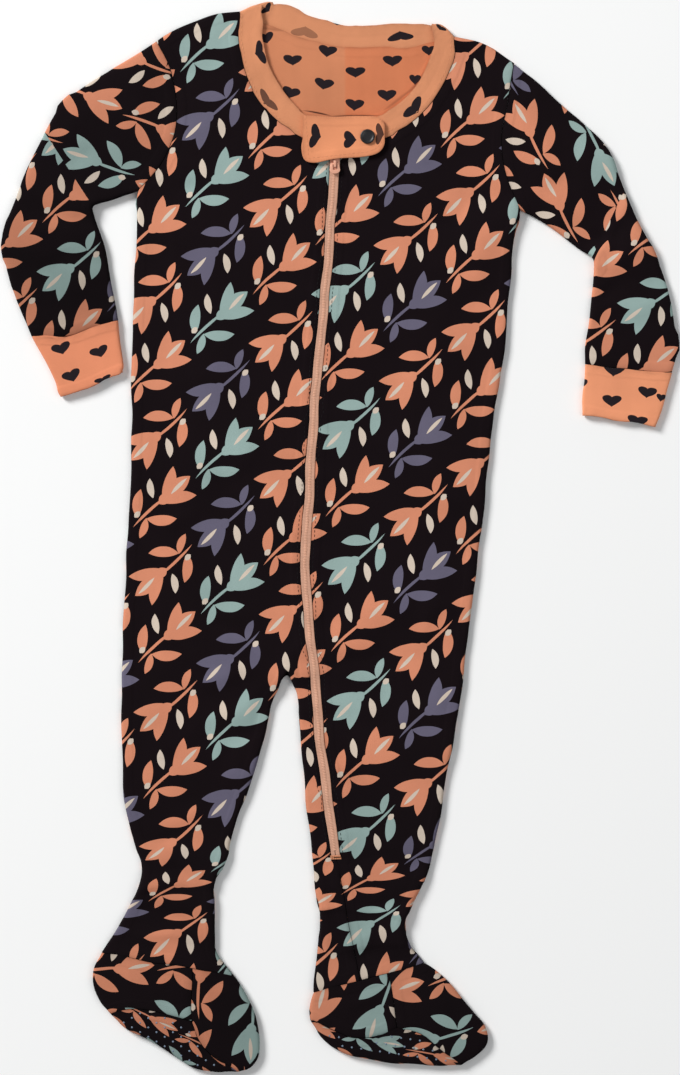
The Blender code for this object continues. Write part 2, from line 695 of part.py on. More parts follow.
def left_leg_edges(heights_on_zip):
    """Inner and outer edges of the leg with the zip at each row."""
    first, last = ankle_ways(FOOT_LEFT)
    top, bottom = heights_on_zip[0], heights_on_zip[-1]
    inner, outer = [], []
    for height in heights_on_zip[1:]:
        share = (top - height) / (top - bottom)
        inner_y = CROTCH[1] + (FOOT_LEFT.ankle[0][1] - CROTCH[1]) * share
        outer_y = CROTCH_ROW + (FOOT_LEFT.ankle[1][1] - CROTCH_ROW) * share
        inner.append(edge_spot(INSEAM_LEFT, inner_y, 1))
        outer.append(edge_spot(SIDE_LEFT, outer_y, -1))
    inner[-1] = (FOOT_LEFT.ankle[0], first)
    outer[-1] = (FOOT_LEFT.ankle[1], last)
    return inner, outer


def front_right():
    torso = front_rows(RIGHT)
    crotch_row = torso[-1]
    split = len(ROLL_TURNS) + RIGHT_COLUMNS
    turn = crotch_turn()
    outer, inner = right_leg_edges()
    leg = leg_grid(crotch_row[: split + 1] + turn[::-1], outer, inner, even(RIGHT_COLUMNS))
    heights_on_zip = left_leg_heights()
    strip = [turn + crotch_row[split:]]
    for (point, way), height in zip(left_leg_edges(heights_on_zip)[0], heights_on_zip[1:]):
        strip.append(turned(point, way) + [flat(inset(point, way)), flat(zip_edge(RIGHT, height))])
    patches = [(torso, FRONT), (leg, FRONT), (strip, FRONT), *yoke_patches(RIGHT)]
    add_cloth("front_right", patches, "print_jersey", NIGHT)


def front_left():
    heights_on_zip = left_leg_heights()
    torso = front_rows(LEFT)
    leg = [torso[-1]]
    for (point, way), height in zip(left_leg_edges(heights_on_zip)[1], heights_on_zip[1:]):
        across = row_between(inset(point, way), zip_edge(LEFT, height), even(LEFT_COLUMNS))
        leg.append(turned(point, way) + [flat(p) for p in across])
    patches = [(torso, FRONT), (leg, FRONT), *yoke_patches(LEFT)]
    add_cloth("front_left", patches, "print_jersey", NIGHT)


def back_shares():
    """Columns of the back, with one at the crotch."""
    left_point, left_way = edge_spot(SIDE_RIGHT, CROTCH_ROW, 1)
    right_point, right_way = edge_spot(SIDE_LEFT, CROTCH_ROW, -1)
    start, end = inset(left_point, left_way), inset(right_point, right_way)
    crotch = (CROTCH[0] - start[0]) / (end[0] - start[0])
    first = [crotch * share for share in even(BACK_HALF_COLUMNS)]
    return first + [crotch + (1 - crotch) * share for share in even(BACK_HALF_COLUMNS)[1:]]


def back_torso():
    rows = []
    for n, share in enumerate(even(BACK_ROWS)):
        ends = []
        for side in (RIGHT, LEFT):
            y = armpit_y(side) + (CROTCH_ROW - armpit_y(side)) * share
            point, way = edge_spot(side.edge, y, -side.sign)
            ends.append((point, side.armpit if n == 0 else way))
        (first, first_way), (last, last_way) = ends
        across = row_between(inset(first, first_way), inset(last, last_way), back_shares())
        rows.append(turned(first, first_way) + [flat(p) for p in across] + turned(last, last_way)[::-1])
    return rows


def back():
    torso = back_torso()
    bend = len(ROLL_TURNS)
    shoulder_shares = even((2 * BACK_HALF_COLUMNS - len(BAND_BACK) - 1) // 2)
    right_top, right_turn = shoulder_patches(RIGHT, shoulder_shares, BACK)
    left_top, left_turn = shoulder_patches(LEFT, shoulder_shares, BACK)
    neck = [(band.seam_x, band.seam_y) for band in BAND_BACK]
    top = right_top + neck + left_top[::-1]
    low = [(spot.x, spot.y) for spot in torso[0][bend:-bend]]
    yoke = coons(low, top, armhole_line(RIGHT), armhole_line(LEFT))
    split = bend + BACK_HALF_COLUMNS
    turn = crotch_turn()
    outer, inner = right_leg_edges()
    leg = leg_grid(torso[-1][: split + 1] + turn[::-1], outer, inner, even(BACK_HALF_COLUMNS))
    rows = [CROTCH_ROW + (ZIP_LINE[-1][0] - CROTCH_ROW) * share for share in even(LEG_ROWS)]
    left_inner, left_outer = left_leg_edges(rows)
    other = leg_grid(turn + torso[-1][split:], left_inner, left_outer, even(BACK_HALF_COLUMNS))
    patches = [(torso, BACK), (yoke, BACK), (leg, BACK), (other, BACK), *right_turn, *left_turn]
    add_cloth("back", patches, "print_jersey", NIGHT)


def ways_along(points, inward_side):
    """The way into the cloth at each point of an edge; inward_side is 1 for the left of its run."""
    ways = []
    for i in range(len(points)):
        before, after = points[max(i - 1, 0)], points[min(i + 1, len(points) - 1)]
        run = unit((after[0] - before[0], after[1] - before[1]))
        ways.append((-run[1] * inward_side, run[0] * inward_side))
    return ways


def sleeve_grid(side, sleeve, cuff):
    """Rows of spots across the sleeve and the cuff, from the armhole to the hand."""
    sections = [*sleeve, *cuff]
    outer = [side.armhole[0]] + [(s.outer_x, s.outer_y) for s in sections]
    inner = [side.armhole[-1]] + [(s.inner_x, s.inner_y) for s in sections]
    outer_ways = ways_along(outer, -side.sign)
    inner_ways = ways_along(inner, side.sign)
    outer_ways[0] = shoulder_way(side)
    inner_ways[0] = side.armpit
    armhole = armhole_line(side)[::-1]
    chord = row_between(armhole[0], armhole[-1], even(SLEEVE_COLUMNS))
    rows = []
    for n, (a, a_way, b, b_way) in enumerate(zip(outer, outer_ways, inner, inner_ways)):
        fade = max(0.0, 1 - n / BOW_SECTIONS)
        across = row_between(inset(a, a_way), inset(b, b_way), even(SLEEVE_COLUMNS))
        bowed = [
            (p[0] + fade * (q[0] - c[0]), p[1] + fade * (q[1] - c[1]))
            for p, q, c in zip(across, armhole, chord)
        ]
        bowed = armhole if n == 0 else bowed
        rows.append(turned(a, a_way) + [flat(p) for p in bowed] + turned(b, b_way)[::-1])
    return rows


def sleeve_and_cuff(side, sleeve, cuff, word):
    rows = sleeve_grid(side, sleeve, cuff)
    arm, hand = rows[: len(sleeve) + 1], rows[len(sleeve) :]
    add_cloth("sleeve_" + word, [(arm, TUBE_TOP), (arm, TUBE_FLOOR)], "print_jersey", NIGHT)
    add_cloth("cuff_" + word, [(hand, CUFF_TOP), (hand, CUFF_FLOOR)], "heart_jersey", CORAL)


def band_row(band, bulge_way=(0.0, 0.0), bulge=0.0):
    start, end = (band.seam_x, band.seam_y), (band.free_x, band.free_y)
    row = []
    for share in BAND_SHARES:
        point = mix(start, end, share)
        row.append(moved(point, bulge_way, -bulge * 4 * share * (1 - share)))
    return row


def band_front(side):
    """Rows across the front neckband from the zip to the fold at the shoulder, and the fold's turn."""
    seam, free = zip_edge(side, NECK_Y), zip_edge(side, ZIP_TOP)
    rows = [band_row(Band(*seam, *free))] + [band_row(band) for band in side.band[:-1]]
    way = shoulder_way(side)
    fold = band_row(side.band[-1], way, FOLD_BULGE)
    turn = [[turned(point, way)[n] for point in fold] for n in range(len(ROLL_TURNS))]
    rows.append([inset(point, way) for point in fold])
    return [[flat(point) for point in row] for row in rows], turn


def neckband():
    right, right_turn = band_front(RIGHT)
    left, left_turn = band_front(LEFT)
    middle = [[flat(point) for point in band_row(band)] for band in BAND_BACK]
    under = right_turn + [right[-1]] + middle + [left[-1]] + left_turn[::-1]
    patches = [
        (right + right_turn[::-1], BAND_TOP),
        (under, BAND_FLOOR),
        (left + left_turn[::-1], BAND_TOP),
    ]
    add_cloth("neckband", patches, "heart_jersey", CORAL)


def back_neck_facing():
    seam = [inset(BAND_RIGHT[-1][:2], shoulder_way(RIGHT))]
    seam += [(band.seam_x, band.seam_y) for band in BAND_BACK]
    seam += [inset(BAND_LEFT[-1][:2], shoulder_way(LEFT))]
    first, last = FACING_ENDS
    top = [mix(seam[0], seam[1], first * FACING_COLUMNS), *seam[1:-1]]
    top.append(mix(seam[-2], seam[-1], 1 - (1 - last) * FACING_COLUMNS))
    low = spaced(FACING_EDGE, FACING_COLUMNS)
    left = [mix(top[0], low[0], share) for share in even(FACING_ROWS)]
    right = [mix(top[-1], low[-1], share) for share in even(FACING_ROWS)]
    add_cloth("back_neck_facing", [(coons(top, low, left, right), FACING)], "heart_jersey", CORAL)


def tape_gap(y):
    """Half the gap between the tapes."""
    return OPEN_HALF if y > SLIDER_Y - OPENING else 0.0


def zip_tape(side, word):
    start = zip_rows()[0]
    top = [NECK_Y + (ZIP_TOP - NECK_Y) * share for share in (1, 0.5)]
    neck = [NECK_Y + (start - NECK_Y) * share for share in even(YOKE_ZIP_ROWS)[:-1]]
    below = left_leg_heights()[1 : ZIP_LEG_ROWS + 1]
    rows = []
    for y in [*top, *neck, *zip_rows(), *below]:
        inner = (along(ZIP_LINE, y) + side.sign * tape_gap(y), y)
        rows.append([flat(zip_edge(side, y)), flat(inner)])
    add_cloth("zip_tape_" + word, [(rows, TAPE)], "zip_tape", TAPE_COLOUR)


def zip_guard():
    rows = []
    for share in even(GUARD_ROWS):
        rows.append([flat((guard.x, guard.low + (guard.high - guard.low) * share)) for guard in GUARD])
    add_cloth("zip_guard", [(rows, GUARD_LAYER)], "heart_jersey", CORAL)


def box_points(low, high):
    """Corners and outward faces of a box."""
    points = [(x, y, z) for z in (low[2], high[2]) for y in (low[1], high[1]) for x in (low[0], high[0])]
    faces = [(0, 2, 3, 1), (4, 5, 7, 6), (0, 1, 5, 4), (2, 6, 7, 3), (0, 4, 6, 2), (1, 3, 7, 5)]
    return points, faces


def join(target, cutter, operation):
    """Applies a Boolean of the cutter to the target and removes the cutter."""
    boolean = target.modifiers.new("join", "BOOLEAN")
    boolean.operation = operation
    boolean.object = cutter
    view = bpy.context.evaluated_depsgraph_get()
    result = bpy.data.meshes.new_from_object(target.evaluated_get(view))
    target.modifiers.clear()
    target.data = result
    bpy.data.objects.remove(cutter)


def metal_block(name, half, start, end, low, high):
    """A block of the zip's metal across the zip's line."""
    x = along(ZIP_LINE, HINGE_Y)
    mesh = new_mesh(name, *box_points((x - half, start, low), (x + half, end, high)))
    return add(name, mesh, "zip_metal", PAINTED)


def slider():
    """Two plates joined by a post between the tapes, with a bridge that holds the pull tab."""
    start, end = SLIDER_Y, SLIDER_Y + SLIDER_LENGTH
    under_low, under_high, top_low, top_high = SLIDER_PLATES
    body = metal_block("slider", SLIDER_HALF, start, end, top_low, top_high)
    edge = body.modifiers.new("edge", "BEVEL")
    edge.width = SLIDER_EDGE * MM
    edge.segments = 2
    edge.limit_method = "ANGLE"
    plate = metal_block("plate", SLIDER_HALF, start, end, under_low, under_high)
    post_start, post_end = start + POST_SET_BACK, end - POST_SET_BACK
    post = metal_block("post", POST_HALF, post_start, post_end, under_high - OVERLAP, top_low + OVERLAP)
    first, last = HINGE_Y - BRIDGE_LENGTH / 2, HINGE_Y + BRIDGE_LENGTH / 2
    arch = metal_block("arch", BRIDGE_HALF, first, last, top_high - OVERLAP, BRIDGE_TOP)
    hole = metal_block(
        "hole", 2 * BRIDGE_HALF, first + BRIDGE_BAR, last - BRIDGE_BAR, top_high, BRIDGE_TOP - BRIDGE_BAR
    )
    join(arch, hole, "DIFFERENCE")
    for solid in (post, plate, arch):
        join(body, solid, "UNION")


def pull():
    """The tab, with a window round the bridge; its origin is on the hinge's axis."""
    x, thick = along(ZIP_LINE, HINGE_Y), PULL_THICK / 2
    top = HINGE_Y + thick
    centre = HINGE_Y - PULL_LENGTH + PULL_HALF * PULL_ROUND
    left_side = [(-PULL_HALF * share, top - depth) for share, depth in PULL_NECK]
    right_side = [(-side_x, side_y) for side_x, side_y in reversed(left_side)]
    angles = [math.pi + math.pi * n / PULL_ARC for n in range(PULL_ARC + 1)]
    end = [
        (PULL_HALF * math.cos(angle), centre + PULL_HALF * PULL_ROUND * math.sin(angle)) for angle in angles
    ]
    half, length = PULL_WINDOW[0] / 2, PULL_WINDOW[1]
    bar = top - PULL_THICK
    window = [(-half, bar), (-half, bar - length), (half, bar - length), (half, bar)]
    shape = prism("pull", x, left_side + end + right_side, HINGE_Z - thick, HINGE_Z + thick)
    hole = prism("window", x, window, HINGE_Z - PULL_THICK, HINGE_Z + PULL_THICK)
    tab = add("pull", shape, "zip_metal", PAINTED)
    join(tab, add("window", hole, "zip_metal", PAINTED), "DIFFERENCE")
    hinge = ((x - MIDDLE[0]) * MM, (HINGE_Y - MIDDLE[1]) * MM, HINGE_Z * MM)
    for vertex in tab.data.vertices:
        vertex.co = [value - origin for value, origin in zip(vertex.co, hinge)]
    tab.location = hinge


def prism(name, x, outline, low, high):
    count = len(outline)
    points = [(x + px, py, z) for z in (low, high) for px, py in outline]
    sides = [(n, (n + 1) % count, (n + 1) % count + count, n + count) for n in range(count)]
    return new_mesh(name, points, [tuple(range(count))[::-1], tuple(range(count, 2 * count)), *sides])


def snap_cap():
    """A low round cap on the guard."""
    x, y = SNAP_AT
    base = GUARD_LIFT + BAND_WALL + guard_rise(x, y) + SEAM_GAP
    points, faces = [], []
    for radius_share, height_share in SNAP_PROFILE:
        radius, z = SNAP_RADIUS * radius_share, base + SNAP_THICK * height_share
        for n in range(SNAP_SIDES):
            angle = 2 * math.pi * n / SNAP_SIDES
            points.append((x + radius * math.cos(angle), y + radius * math.sin(angle), z))
    for start in range(0, len(points) - SNAP_SIDES, SNAP_SIDES):
        for n in range(SNAP_SIDES):
            a, b = start + n, start + (n + 1) % SNAP_SIDES
            faces.append((a, b, b + SNAP_SIDES, a + SNAP_SIDES))
    faces.append(tuple(reversed(range(SNAP_SIDES))))
    faces.append(tuple(range(len(points) - SNAP_SIDES, len(points))))
    add("snap_cap", new_mesh("snap_cap", points, faces), "snap", SNAP_BLACK)


def turned_edge(points, ways):
    """Rows from the flat out round an outline's turn, one column for each point."""
    columns = [[flat(inset(point, way)), *turned(point, way)[::-1]] for point, way in zip(points, ways)]
    return [list(row) for row in zip(*columns)]


def foot_pieces(foot, word):
    back_point, front_point = foot.ankle
    back_way, front_way = ankle_ways(foot)
    top_corner = mix(back_point, front_point, ANKLE_SHARE)
    heel_point, toe_point = foot.heel_edge[-1], foot.toe_edge[-1]
    heel_in, toe_in = inset(heel_point, foot.heel_way), inset(toe_point, foot.toe_way)

    heel_line = spaced([back_point, *foot.heel_edge], HEEL_ROWS)
    heel_ways = [back_way, *ways_along(heel_line, 1)[1:-1], foot.heel_way]
    toe_line = spaced([front_point, *foot.toe_edge], VAMP_ROWS)
    toe_ways = [front_way, *ways_along(toe_line, -1)[1:-1], foot.toe_way]
    sole_line = spaced([heel_point, *foot.sole_edge, toe_point], HEEL_COLUMNS + VAMP_COLUMNS)
    sole_ways = [foot.heel_way, *ways_along(sole_line, 1)[1:-1], foot.toe_way]

    heel_seam = spaced([heel_in, *foot.heel_seam, foot.vamp_corner], HEEL_COLUMNS)
    toe_seam = spaced([foot.vamp_corner, *foot.toe_seam, toe_in], VAMP_COLUMNS)
    heel_top = row_between(inset(back_point, back_way), top_corner, even(HEEL_COLUMNS))
    vamp_top = row_between(top_corner, inset(front_point, front_way), even(VAMP_COLUMNS))
    heel_inner, toe_inner, sole_inner = (
        [inset(point, way) for point, way in zip(line, ways)]
        for line, ways in ((heel_line, heel_ways), (toe_line, toe_ways), (sole_line, sole_ways))
    )

    def vamp_side(rows):
        return row_between(top_corner, foot.vamp_corner, even(rows))

    heel = coons(heel_top, heel_seam, heel_inner, vamp_side(HEEL_ROWS))
    vamp = coons(vamp_top, toe_seam, vamp_side(VAMP_ROWS), toe_inner)
    ends = [heel_in] * (SOLE_ROWS + 1), [toe_in] * (SOLE_ROWS + 1)
    sole = coons(heel_seam + toe_seam[1:], sole_inner, *ends)
    pieces = {
        "heel_": (heel, turned_edge(heel_line, heel_ways)),
        "vamp_": (vamp, turned_edge(toe_line, toe_ways)),
        "sole_": (sole, turned_edge(sole_line, sole_ways)),
    }
    for name, grids in pieces.items():
        patches = [(grid, layer) for grid in grids for layer in (TUBE_TOP, TUBE_FLOOR)]
        add_cloth(name + word, patches, "print_jersey", NIGHT)


def main():
    for old in list(bpy.data.objects):
        bpy.data.objects.remove(old)
    front_right()
    front_left()
    back()
    sleeve_and_cuff(RIGHT, SLEEVE_RIGHT, CUFF_RIGHT, "right")
    sleeve_and_cuff(LEFT, SLEEVE_LEFT, CUFF_LEFT, "left")
    neckband()
    back_neck_facing()
    zip_tape(RIGHT, "right")
    zip_tape(LEFT, "left")
    zip_guard()
    slider()
    pull()
    snap_cap()
    foot_pieces(FOOT_RIGHT, "right")
    foot_pieces(FOOT_LEFT, "left")


main()
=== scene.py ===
# Looks of a baby's footed one-piece pajama, laid flat and face up: cloth, print, hearts, zip,
# snap and stitches. Meshes are in metres. Tables and node values are in millimetres from the
# same origin.
import math

import bmesh
import bpy
import numpy as np
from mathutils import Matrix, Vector, kdtree
from mathutils.bvhtree import BVHTree


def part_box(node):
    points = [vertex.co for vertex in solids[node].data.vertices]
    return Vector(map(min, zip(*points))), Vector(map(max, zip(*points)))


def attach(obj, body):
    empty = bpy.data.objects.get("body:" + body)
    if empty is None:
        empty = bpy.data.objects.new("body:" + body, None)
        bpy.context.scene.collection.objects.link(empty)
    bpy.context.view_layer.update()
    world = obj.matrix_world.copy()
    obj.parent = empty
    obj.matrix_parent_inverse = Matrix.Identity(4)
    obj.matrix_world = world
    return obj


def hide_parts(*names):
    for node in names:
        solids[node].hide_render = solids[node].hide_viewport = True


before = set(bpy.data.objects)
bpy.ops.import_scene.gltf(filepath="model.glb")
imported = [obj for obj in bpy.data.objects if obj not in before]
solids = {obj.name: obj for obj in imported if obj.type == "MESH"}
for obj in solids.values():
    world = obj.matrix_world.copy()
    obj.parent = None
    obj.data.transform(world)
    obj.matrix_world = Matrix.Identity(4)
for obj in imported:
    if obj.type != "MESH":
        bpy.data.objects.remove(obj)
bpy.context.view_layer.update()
mm = 0.001
body = "garment"
origin = (0.0, 0.0, 0.0)


# Small helpers for node trees

def isSocket(value):
    return isinstance(value, bpy.types.NodeSocket)


def plug(value, socket):
    if isSocket(value):
        socket.id_data.links.new(value, socket)
    else:
        socket.default_value = value


def addNode(near, kind, values=None, **settings):
    # near is a node tree, or a node or socket in it; a kind without Node is of the tree's own
    tree = near.id_data
    made = tree.nodes.new(kind if "Node" in kind else tree.bl_idname[:-len("Tree")] + kind)
    for name, value in settings.items():
        setattr(made, name, value)
    for label, value in (values or {}).items():
        plug(value, made.inputs[label])
    return made


def calc(operation, *values):
    step = addNode(next(filter(isSocket, values)), "Math", operation=operation)
    for value, socket in zip(values, step.inputs):
        plug(value, socket)
    return step.outputs[0]


def times(first, second):
    return calc("MULTIPLY", first, second)


def minus(first, second):
    return calc("SUBTRACT", first, second)


def vectorCalc(operation, first, second):
    near = next(filter(isSocket, (first, second)))
    step = addNode(near, "VectorMath", operation=operation)
    plug(first, step.inputs[0])
    plug(second, step.inputs["Scale" if operation == "SCALE" else 1])
    return step.outputs["Value" if operation == "DOT_PRODUCT" else 0]


def axesOf(vector):
    return addNode(vector, "SeparateXYZ", {"Vector": vector}).outputs


def rangeOf(value, start, end, low=0.0, high=1.0, kind="LINEAR"):
    # low where the value is at its start, high where it is at its end
    values = {"Value": value, "From Min": start, "From Max": end, "To Min": low, "To Max": high}
    return addNode(value, "MapRange", values, interpolation_type=kind).outputs[0]


def noiseOf(vector, scale, detail):
    values = {"Vector": vector, "Scale": scale, "Detail": detail}
    return addNode(vector, "TexNoise", values).outputs


def placed(vector, spot, turn, size):
    # the vector as a motif sees it that lies at spot, turned by degrees, and is this big
    values = {
        "Vector": vector, "Location": (*spot, 0), "Rotation": (0, 0, math.radians(turn)),
        "Scale": (*size, 1),
    }
    return addNode(vector, "Mapping", values, vector_type="TEXTURE").outputs[0]


def colourMix(amount, first, second):
    step = addNode(amount, "Mix", data_type="RGBA")
    plug(amount, step.inputs[0])
    for value, socket in ((first, step.inputs[6]), (second, step.inputs[7])):
        plug(value if isSocket(value) else (*value, 1.0), socket)
    return step.outputs[2]


def vectorMix(amount, first, second):
    step = addNode(amount, "Mix", data_type="VECTOR")
    for value, socket in zip((amount, first, second), (0, 4, 5)):
        plug(value, step.inputs[socket])
    return step.outputs[1]


def newGroup(name, build, others=None):
    # build turns the group's inputs, a vector and the others, into its outputs, all by name
    tree = bpy.data.node_groups.new(name, "ShaderNodeTree")
    for label, value in {"Vector": origin, **(others or {})}.items():
        kind = "NodeSocketVector" if value is origin else "NodeSocketFloat"
        tree.interface.new_socket(label, in_out="INPUT", socket_type=kind).default_value = value
    made = build(tree.nodes.new("NodeGroupInput").outputs)
    for label, socket in made.items():
        kind = "NodeSocketVector" if socket.type == "VECTOR" else "NodeSocketFloat"
        tree.interface.new_socket(label, in_out="OUTPUT", socket_type=kind)
    ends = tree.nodes.new("NodeGroupOutput").inputs
    for label, socket in made.items():
        plug(socket, ends[label])
    return tree


def useGroup(group, vector, others=None):
    values = {"Vector": vector, **(others or {})}
    return addNode(vector, "Group", values, node_tree=group).outputs


# Effects that several materials share

leafFullness = 2.3
heartShape = {"notch": 0.03, "lift": 0.95}
loopLean = (0.25, 0.75)  # how far the loops of a wale vary, and their least height
noiseScales = {"fuzz": 1.4, "tone": 0.03, "pucker": 0.17}
# the last two give the painted shade at a seam: how fast it fades, and how dark it is
seamShape = {"slope": 2.2, "puckerFade": -0.16, "paintedShadeFade": -1.1, "paintedSeamShade": 0.4}


def drawLeaf(given):
    # a pointed leaf along X, two units long and two wide, with its spine bent sideways
    seen = axesOf(given["Vector"])
    room = minus(1.0, calc("POWER", calc("ABSOLUTE", seen["X"]), leafFullness))
    aside = calc("ABSOLUTE", minus(seen["Y"], times(room, given["Bend"])))
    soft = calc("MAXIMUM", minus(room, aside), 0.0)
    return {"Mask": calc("GREATER_THAN", room, aside), "Soft": soft}


def drawHeart(given):
    # a heart with its tip towards -Y, two units wide
    seen = axesOf(given["Vector"])
    across = calc("ABSOLUTE", seen["X"])
    lobe = times(calc("SQRT", calc("ADD", across, heartShape["notch"])), heartShape["lift"])
    up = minus(seen["Y"], lobe)
    reach = calc("ADD", times(across, across), times(up, up))
    return {"Mask": calc("LESS_THAN", reach, 1.0)}


def shiftALittle(given):
    # moves a pattern a little here and there, as knitted cloth does
    noise = noiseOf(given["Vector"], given["Scale"], 2.0)["Color"]
    shift = vectorCalc("SCALE", vectorCalc("SUBTRACT", noise, (0.5, 0.5, 0.5)), given["Reach"])
    return {"Vector": vectorCalc("ADD", given["Vector"], shift)}


def knitLoops(given):
    # wales and courses of fine jersey, with the fuzz on top
    seen = axesOf(given["Vector"])
    across = calc("PINGPONG", calc("DIVIDE", seen["X"], given["Wale"]), 0.5)
    leaning = calc("ADD", calc("DIVIDE", seen["Y"], given["Course"]), across)
    loops = calc("SINE", times(leaning, 2 * math.pi))
    wales = calc("SINE", times(across, math.pi))
    stitch = times(wales, calc("MULTIPLY_ADD", loops, *loopLean))
    fuzz = times(noiseOf(given["Vector"], noiseScales["fuzz"], 4.0)[0], given["Fuzz"])
    tone = noiseOf(given["Vector"], noiseScales["tone"], 5.0)[0]
    return {"Height": calc("MULTIPLY_ADD", stitch, given["Depth"], fuzz), "Tone": tone}


def seamRelief(given):
    # the seam allowance's ridge and puckers as a height, and painted shade at the seam itself
    far = calc("ADD", given["Allowance"], seamShape["slope"])
    ridge = rangeOf(given["Distance"], far, given["Allowance"], kind="SMOOTHSTEP")

    def faded(rate):
        return calc("EXPONENT", times(given["Distance"], rate))

    noise = noiseOf(given["Vector"], noiseScales["pucker"], 2.0)[0]
    pucker = times(times(noise, faded(seamShape["puckerFade"])), given["Pucker"])
    height = calc("MULTIPLY_ADD", ridge, given["Ridge"], pucker)
    # painted shade, darker at the seam
    paintedSeamShade = times(faded(seamShape["paintedShadeFade"]), seamShape["paintedSeamShade"])
    return {"Height": height, "Shade": minus(1.0, paintedSeamShade)}


leaf = newGroup("leaf", drawLeaf, {"Bend": 0.0})
heart = newGroup("heart", drawHeart)
wobble = newGroup("wobble", shiftALittle, {"Reach": 0.5, "Scale": 0.05})
knitSizes = {"Wale": 0.72, "Course": 0.55, "Depth": 0.07, "Fuzz": 0.1}
knit = newGroup("knit", knitLoops, knitSizes)
seamSizes = {"Distance": 20.0, "Allowance": 5.0, "Ridge": 0.22, "Pucker": 0.35}
seam = newGroup("seam", seamRelief, seamSizes)


# The printed sprig: x and y of each leaf's middle, its turn, half length, half width and bend

sprig = {
    "cell": (52.0, 36.0),
    "petals": (
        (13.0, 0.5, 6, 12.5, 5.2, 0.2), (11.0, 7.0, 34, 11.5, 4.0, -0.35),
        (11.0, -6.2, -24, 11.0, 4.0, 0.35),
    ),
    "calyx": (2.6, 0.3, 5, 4.4, 3.5, 0.0),
    "stem": (-8.5, -0.6, 4, 16.5, 1.0, 1.2),
    "leaves": (
        (-12.0, 8.0, 46, 9.5, 3.6, 0.35), (-6.5, -8.6, -38, 10.0, 3.7, -0.35),
        (-20.0, -6.0, 214, 7.0, 2.7, 0.3),
    ),
    "buds": ((0.5, 11.0, 62, 6.6, 2.5, 0.3), (-17.5, 3.2, 10, 2.6, 1.9, 0.0)),
    "vein": (15.5, 1.1, 8, 7.5, 1.3, 0.2),
    "wobble": 0.9,
    "slim": 0.93,  # of every leaf's half width
}
printColours = {
    "night": (0.0056, 0.0026, 0.0037),
    "coral": (0.62, 0.235, 0.135),
    "slate": (0.120, 0.108, 0.158),
    "aqua": (0.275, 0.375, 0.350),
    "cream": (0.60, 0.50, 0.41),
}
inkOrder = {"count": 5.0, "slate": 1.0, "aqua": 3.0}  # the others of each five are coral


def drawSprigs(given):
    # one sprig in each cell of a brick pattern, every second row upside down
    width, height = sprig["cell"]
    seen = axesOf(given["Vector"])
    down = calc("DIVIDE", seen["Y"], height)
    row = calc("FLOOR", down)
    odd = calc("FLOORED_MODULO", row, 2.0)
    run = calc("MULTIPLY_ADD", odd, 0.5, calc("DIVIDE", seen["X"], width))
    column = calc("FLOOR", run)
    sign = calc("MULTIPLY_ADD", odd, -2.0, 1.0)
    x = times(times(minus(minus(run, column), 0.5), width), sign)
    y = times(times(minus(minus(down, row), 0.5), height), sign)
    local = addNode(x, "CombineXYZ", {"X": x, "Y": y}).outputs[0]

    def together(*leaves):
        total = None
        for x, y, turn, halfLength, halfWidth, bend in leaves:
            spot = placed(local, (x, y), turn, (halfLength, halfWidth * sprig["slim"]))
            mask = useGroup(leaf, spot, {"Bend": bend})["Mask"]
            total = calc("MAXIMUM", total, mask) if total else mask
        return total

    ink = together(*sprig["petals"], sprig["calyx"], sprig["stem"], *sprig["leaves"])
    accent = together(*sprig["buds"], sprig["vein"])
    number = calc("MULTIPLY_ADD", row, 2.0, column)
    index = calc("FLOORED_MODULO", number, inkOrder["count"])
    return {"Body": ink, "Accent": accent, "Index": index}


sprigPrint = newGroup("sprig", drawSprigs)


# Materials

def newMaterial(name, roughness, gloss=0.5, sheen=0.0, metallic=0.0, coat=0.0):
    made = bpy.data.materials.new(name)
    made.use_nodes = True
    shader = made.node_tree.nodes["Principled BSDF"]
    values = {
        "Roughness": roughness, "Specular IOR Level": gloss, "Metallic": metallic,
        "Sheen Weight": sheen, "Sheen Roughness": 0.6, "Coat Weight": coat,
    }
    for label, value in values.items():
        plug(value, shader.inputs[label])
    return made, shader


def millimetres(shader):
    # object coordinates in millimetres
    place = addNode(shader, "TexCoord").outputs["Object"]
    return vectorCalc("SCALE", place, 1 / mm)


def colourOn(shader, colour, shade):
    plug(vectorCalc("SCALE", colour, shade), shader.inputs["Base Color"])


def reliefOn(shader, height, strength):
    values = {"Height": height, "Distance": mm, "Strength": strength}
    plug(addNode(shader, "Bump", values).outputs[0], shader.inputs["Normal"])


wear = {"spread": 0.34, "least": 0.83}  # how much the cloth's tone varies from place to place


def clothRelief(shader, plain, depth=0.07, ridge=0.22, pucker=0.35):
    # knit, seam ridges and puckers as one height; random tone times painted shade at seams
    distance = addNode(shader, "Attribute", attribute_name="seamDistance")
    stitch = useGroup(knit, plain, {"Depth": depth})
    shape = {"Distance": distance.outputs["Fac"], "Ridge": ridge, "Pucker": pucker}
    sewn = useGroup(seam, plain, shape)
    reliefOn(shader, calc("ADD", stitch["Height"], sewn["Height"]), 0.9)
    worn = calc("MULTIPLY_ADD", stitch["Tone"], wear["spread"], wear["least"])
    return times(worn, sewn["Shade"])


def pastLine(plain, line):
    # 1 on the left of a line from its first point to its second
    (x0, y0), (x1, y1) = line
    length = math.hypot(x1 - x0, y1 - y0)
    normal = ((y0 - y1) / length, (x1 - x0) / length, 0.0)
    product = vectorCalc("DOT_PRODUCT", plain, normal)
    return calc("GREATER_THAN", product, normal[0] * x0 + normal[1] * y0)


def gathered(plain, top, bottom, extra):
    # the print draws together between two heights, by so many millimetres of cloth
    share = rangeOf(axesOf(plain)["Y"], top, bottom, kind="SMOOTHSTEP")
    drop = addNode(plain, "CombineXYZ", {"Y": times(share, -extra)}).outputs[0]
    return vectorCalc("ADD", plain, drop)


